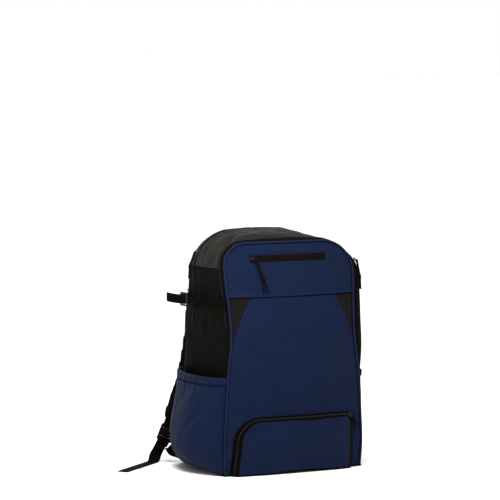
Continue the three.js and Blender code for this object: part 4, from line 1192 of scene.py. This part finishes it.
bend = POD["top"] - POD_RADIUS["left"]
z = np.concatenate([
    np.linspace(FOOT, bend, 18), bend + (POD_LIP - bend) * np.sin(np.linspace(0, QUARTER, 22))[1:],
    np.linspace(POD_LIP, INSERT_TIP, 46)[1:], np.linspace(INSERT_TIP, SEAM_HEIGHT + HEM_LAP, 28)[1:],
])
reach = np.where(z > INSERT_TIP, insert_edge(z) - SEAM_HALF, front_reach(1.0, z))
above = smooth((z - POD_LIP) / COLUMNS_EASE)
legs = [pod_reach(side, np.minimum(z, POD["top"])) + SEAM_GAP for side in (-1, 1)]
legs = [mix(leg, COLUMNS_SHARE * reach, above) for leg in legs]
x = spread([-reach, -legs[0], legs[1], reach], (14, 64, 14))
keep = all_cells(x)
keep[14:78, : 18 + 21 - 1] = False
front_panel("front_panel_shield", x, z, keep, under_hem(z))

z = np.linspace(INSERT_TIP + 1.2, SEAM_HEIGHT + HEM_LAP, 40)
inner, outer = insert_edge(z) + SEAM_HALF, front_reach(1.0, z)
for name, edges in (("left", [-outer, -inner]), ("right", [inner, outer])):
    x = spread(edges, (14,))
    grid = on_front(x, np.broadcast_to(z, x.shape))
    relief = sewn(grid, 0.5 * uneven(*lengths(grid), 14, 61), 8, 0.9, 2.4) - 0.3 + under_hem(z)
    panel(f"front_insert_{name}", grid, CLOTH, "insert_cloth", relief)

line = spaced(front_arch(np.linspace(-1, 1, 319)), PIPE_STEP)
ripple = 1 + 0.04 * uneven(np.arange(len(line)) * PIPE_STEP, 0 * line[:, 0], 9, 71)
tube("front_piping", line, PIPE_SHOWN * ripple[:, None], 14, "navy_piping", ("front_piping",))
line = line + unit(np.cross(REAR, tangents(line)) + REAR) * FLANGE["in"]
# The flange is the piping's own navy cloth; its darker colour is painted shade for the recess on both sides
# of the pipe.
tube("front_piping_flange", line, FLANGE["radius"], 10, "navy_piping", ("front_piping",), "dark_navy_cloth")

# Zip on the upper front

x = np.linspace(SLOT["left"] + 0.2, SLOT["right"] - 0.2, 90)
z = np.linspace(SLOT["low"] + 0.2, SLOT["high"] - 0.2, 19)
off = z - (SLOT["low"] + SLOT["high"]) / 2
lips = -0.9 + 0.35 * np.cos(off / 3.5 * QUARTER) - 0.7 * bell(off, 0.7)
panel("pocket_zip", on_front(x[:, None], z[None]), TAPE_THICK, "zip_tape", lips)

# Lower pocket

ts, vs = np.linspace(-1, 1, 320), np.linspace(0, 1, 15)
grid = pod_band(ts[:, None], vs[None])
tape = -0.6 + 0.6 * bell(vs - 0.5, 0.2) - 0.5 * bell(vs, 0.08)
panel("lower_pocket_zip", grid, 1.6, "zip_tape", tape, material="pocket_tape")
coil("lower_pocket_coil", pod_band(ts, np.full_like(ts, 0.5)), grid_normals(grid)[:, 7], 0.5, 5.6, 0.75)


def pod_relief(x, z):
    return bumps(x + 300, z, (1.0, 60, 81), (0.4, 22, 82))


ends = [pod_outline(side * np.linspace(1, pod_turn(side), 56), POD["band"] + SEAM_GAP) for side in (-1, 1)]
x, z = mix(*np.array(ends)[:, :, None], np.linspace(0, 1, 84)[:, None])
grid = np.stack([x, pod_depth(x, z), z + bottom_arch(x, z)], -1)
panel("lower_pocket_panel", grid, CLOTH, "navy_cloth", sewn(grid, pod_relief(x, z), 12, 1.0, 3))

# Side pockets

SLEEVE_WIDE, SLEEVE_TALL = 200.0, 230.0
SLEEVE_FOLDS = [
    ((8, 205), (85, 130), 7, 2.2), ((14, 180), (80, 108), 7, -2.0), ((30, 215), (120, 150), 8, 1.6),
    ((60, 90), (75, 30), 9, 1.4), ((110, 110), (118, 40), 9, -1.4), ((150, 190), (120, 90), 9, 1.6),
]


def sleeve_relief(v, s):
    """Gathers under the hem that fade downwards, and slanting folds lower down."""
    gathers = 0.9 * uneven(v * 34, s * 1.2, 1, 91) + 0.5 * uneven(v * 60, s * 2, 1, 92)
    slack = 2.0 * uneven(v * 5 + s * 3, s * 4, 1, 93) + 0.8 * uneven(v * 12 + s * 6, s * 5, 1, 94)
    near = smooth((s - 0.6) / 0.4)
    return gathers * near + slack * (1 - 0.5 * near) + creases(v * SLEEVE_WIDE, s * SLEEVE_TALL, SLEEVE_FOLDS)


def mesh_relief(v, s):
    return 1.2 * uneven(v * 9, s * 5, 1, 96)


def pocket(name, side, shape, slot, relief_at):
    """A side pocket up to its hem, and the hem band above it."""
    share = np.linspace(0, 1, 110)[:, None]
    vs = mix(shape["front"], shape["rear"], (share + (1 - np.cos(math.pi * share)) / 2) / 2)
    ss = np.linspace(0, pocket_row(shape, shape["hem"]), 90)[None]
    grid = pocket_point(side, shape, vs, ss)
    relief = CLOTH + sewn(grid, relief_at(vs, ss), 18, 0.5, 3)
    if shape["gathers"]:
        row = -1 - GATHER["below"]
        out = side * grid_normals(grid)[:, row]
        relief[:, row] -= GATHER["sink"]
        stitch("gather", grid[:, row] + out * relief[:, row, None], out, GATHER)
    panel(name, grid, CLOTH, slot, relief, way=side)
    grid = pocket_point(side, shape, vs, np.linspace(pocket_row(shape, shape["hem"] + SEAM_GAP), 1, 14)[None])
    _, v = lengths(grid)
    tall = v[:, -1:]
    roll = 0.9 * np.sqrt(np.maximum(1 - (2 * v / tall - 1) ** 4, 0)) - 0.9
    ruche = 0.45 * uneven(vs * 150, 0 * v + 0.5, 1, 95) * smooth(np.minimum(v, tall - v) / 4)
    panel(f"{name}_hem", grid, HEM_THICK, "navy_cloth", HEM_THICK + roll + ruche, way=side)


pocket("bat_sleeve", -1, SLEEVE, "navy_cloth", sleeve_relief)
pocket("side_pocket_right", 1, SIDE_POCKET, "black_mesh", mesh_relief)

# Anchor tabs and shoulder pads

TAB_SEAT = along(BACK_EDGE, 60.0, "y") + BACK_PAD + CLOTH + SEAM_GAP
TAB_RINGS = ((0.97, 0.0), (1, 0.5), (1, CLOTH - 0.5), (0.97, CLOTH))
for name, side in SIDES:
    foot, end = ANCHORS[name][:2]
    corners = [(side * x, z) for x, z in TAB_EDGE]
    corners += [(end[0], end[2] + 8), (end[0], end[2] - 8), (foot[0], foot[2] - 10)]
    corners = np.array([(x, TAB_SEAT, z) for x, z in corners])
    middle = corners.mean(axis=0)
    points, faces = loft(np.array([mix(middle, corners, size) - REAR * y for size, y in TAB_RINGS]))
    node = f"strap_anchor_{name}"
    place_piece(node, points, faces, "black_cloth", (node,), points[:, [0, 2]], sharp=30)


def evaluated(piece):
    """A new mesh of a piece as its modifiers leave it."""
    graph = bpy.context.evaluated_depsgraph_get()
    return bpy.data.meshes.new_from_object(piece.evaluated_get(graph))


def settle(piece):
    piece.data = evaluated(piece)
    piece.modifiers.clear()


def points_of(mesh):
    flat = np.empty(len(mesh.vertices) * 3)
    mesh.vertices.foreach_get("co", flat)
    return flat.reshape(-1, 3)


PAD_START = {"thick": 0.62, "narrow": 6.0, "longer": 3.0}
PAD_STEP = 6.0
VOXEL = 0.005
PRESSURE = 4.0
CAP = 0.004
SIM_FRAMES = 20


def swell(piece):
    """Remeshes a pad evenly, blows it up as sewn cloth and smooths it."""
    even = piece.modifiers.new("even", "REMESH")
    even.mode = "VOXEL"
    even.voxel_size = VOXEL
    settle(piece)
    before = points_of(piece.data)
    cloth = piece.modifiers.new("cloth", "CLOTH")
    cloth.settings.use_pressure = True
    cloth.settings.uniform_pressure_force = PRESSURE
    cloth.settings.effector_weights.gravity = 0
    for step in range(1, SIM_FRAMES + 1):
        bpy.context.scene.frame_set(step)
    move = points_of(evaluated(piece)) - before
    piece.modifiers.clear()
    bpy.context.scene.frame_set(1)
    far = np.linalg.norm(move, axis=1, keepdims=True)
    move *= np.minimum(1, CAP / np.maximum(far, 1e-9))
    piece.data.vertices.foreach_set("co", (before + move).ravel())
    finer = piece.modifiers.new("finer", "SUBSURF")
    finer.levels = finer.render_levels = 1
    settle(piece)
    piece.data.polygons.foreach_set("use_smooth", [True] * len(piece.data.polygons))


for name, _ in SIDES:
    spots = pad_spots(name)
    ends = [unit(spots[a] - spots[b]) * PAD_START["longer"] for a, b in ((0, 1), (-1, -2))]
    spots[0], spots[-1] = spots[0] + ends[0], spots[-1] + ends[1]
    line, place = spline(spots, PAD_STEP)
    table = {"s": np.arange(len(spots), dtype=float), "wide": PADS["wide"]}
    wide = along(table, place, "wide", "s")[:, None]
    along_line = tangents(line)
    across = unit(LEVEL - along_line * (along_line @ LEVEL)[:, None])
    out = np.cross(along_line, across)
    section = squarish(wide - PAD_START["narrow"], PAD_THICK * PAD_START["thick"], 4, 28)
    rings = line[:, None] + across[:, None] * section[..., :1] + out[:, None] * section[..., 1:]
    node = f"shoulder_pad_{name}"
    pad = place_piece(node, *loft(rings), "black_cloth", (node,))
    swell(pad)
    spots = points_of(pad.data)
    near = np.argmin(((spots[:, None] / MM - line) ** 2).sum(-1), axis=1)
    away = spots / MM - line[near]
    run = runs(line)[near] + (away * along_line[near]).sum(-1)
    lay_weave(pad.data, np.stack([run, (away * across[near]).sum(-1)], -1))
    skin = BVHTree.FromPolygons(spots.tolist(), [list(f.vertices) for f in pad.data.polygons])
    facing = out * np.sign(out @ REAR)[:, None]
    for way in (-1, 1):
        above = line + across * way * (wide / 2 - PAD_BORDER) + facing * PAD_THICK * 2
        hits = [skin.ray_cast(Vector(p * MM), Vector(-n))[:2] for p, n in zip(above[2:-2], facing[2:-2])]
        hits = np.array([hit for hit in hits if hit[0] is not None])
        stitch("pad", hits[:, 0] / MM, hits[:, 1])

# Stitches

BESIDE = 4.0
HEM_STITCH = {"half": 130, "up": 8}

x = np.linspace(SLOT["left"] - BESIDE, SLOT["right"] + BESIDE, 90)
z = np.linspace(INSERT_TIP + 2 * BESIDE, SEAM_HEIGHT - 1.5 * BESIDE, 40)
hem = np.linspace(-HEM_STITCH["half"], HEM_STITCH["half"], 120)
for x, z, lean in (
    (hem, SEAM_HEIGHT + HEM_STITCH["up"], 0.12), (x, SLOT["low"] - BESIDE, 0.15),
    (x, SLOT["high"] + BESIDE, 0.15), (BESIDE - insert_edge(z), z, 0), (insert_edge(z) - BESIDE, z, 0),
):
    z = np.broadcast_to(z, x.shape)
    stitch("navy", on_front(x, z, front_relief(x, z)), np.array([0, -1.0, lean]))
x, z = pod_outline(np.linspace(-1, 1, 239), POD["band"] + 5)
x, z = (k[z > FOOT + BESIDE] for k in (x, z))
stitch("navy", np.stack([x, pod_depth(x, z) - pod_relief(x, z) * 0.35, z], -1), -REAR)
for thread, groups in stitched.items():
    slot = "black_cloth" if thread in ("black", "pad") else "navy_cloth"
    place_spindles(f"stitches_{thread}", groups, slot, f"{thread}_thread")

# Studio

FLOOR = {"half": 60.0, "tone": 0.95, "low": -0.0005}
DOME = {"low": 0.42, "rim": 1.0, "band": 0.06}

mesh = bpy.data.meshes.new("floor")
corners = [(x * FLOOR["half"], y * FLOOR["half"], 0) for x, y in ((-1, -1), (1, -1), (1, 1), (-1, 1))]
mesh.from_pydata(corners, [], [(0, 1, 2, 3)])
mesh.materials.append(floor_material("floor", FLOOR["tone"]))
floor = put("floor", mesh)
floor.location.z = FLOOR["low"]


def studio_world():
    """A dim dome with a white rim at eye level, all round."""
    n = Nodes("studio", bpy.data.worlds, "Background")
    place = n.add("ShaderNodeTexCoord", {})["Generated"]
    height = n.math("ABSOLUTE", n.add("ShaderNodeSeparateXYZ", {0: place})["Z"])
    stops = [(DOME["band"], DOME["rim"]), (2 * DOME["band"], DOME["low"])]
    n.put(n.shader, {"Color": n.shades((1, 1, 1), height, stops)})
    return n.owner


def lamp(name, kind, power, toward, at=(0, 0, 0), **settings):
    light = put(name, bpy.data.lights.new(name, kind))
    light.data.energy = power
    for key, value in settings.items():
        setattr(light.data, key, value)
    light.location = at
    aim(light, toward)


bpy.context.scene.world = studio_world()
lamp("overhead", "SUN", 3.0, (0.12, 0.12, -0.98), angle=math.radians(40))
lamp("key", "AREA", 8.4, (0.4, 0.48, -0.44), (-0.4, -0.56, 0.86), size=0.35)
lamp("rear", "AREA", 11.0, (-0.6, -1.05, -0.3), (0.6, 1.2, 0.55), size=0.9)
bpy.context.scene.view_settings.view_transform = "Standard"
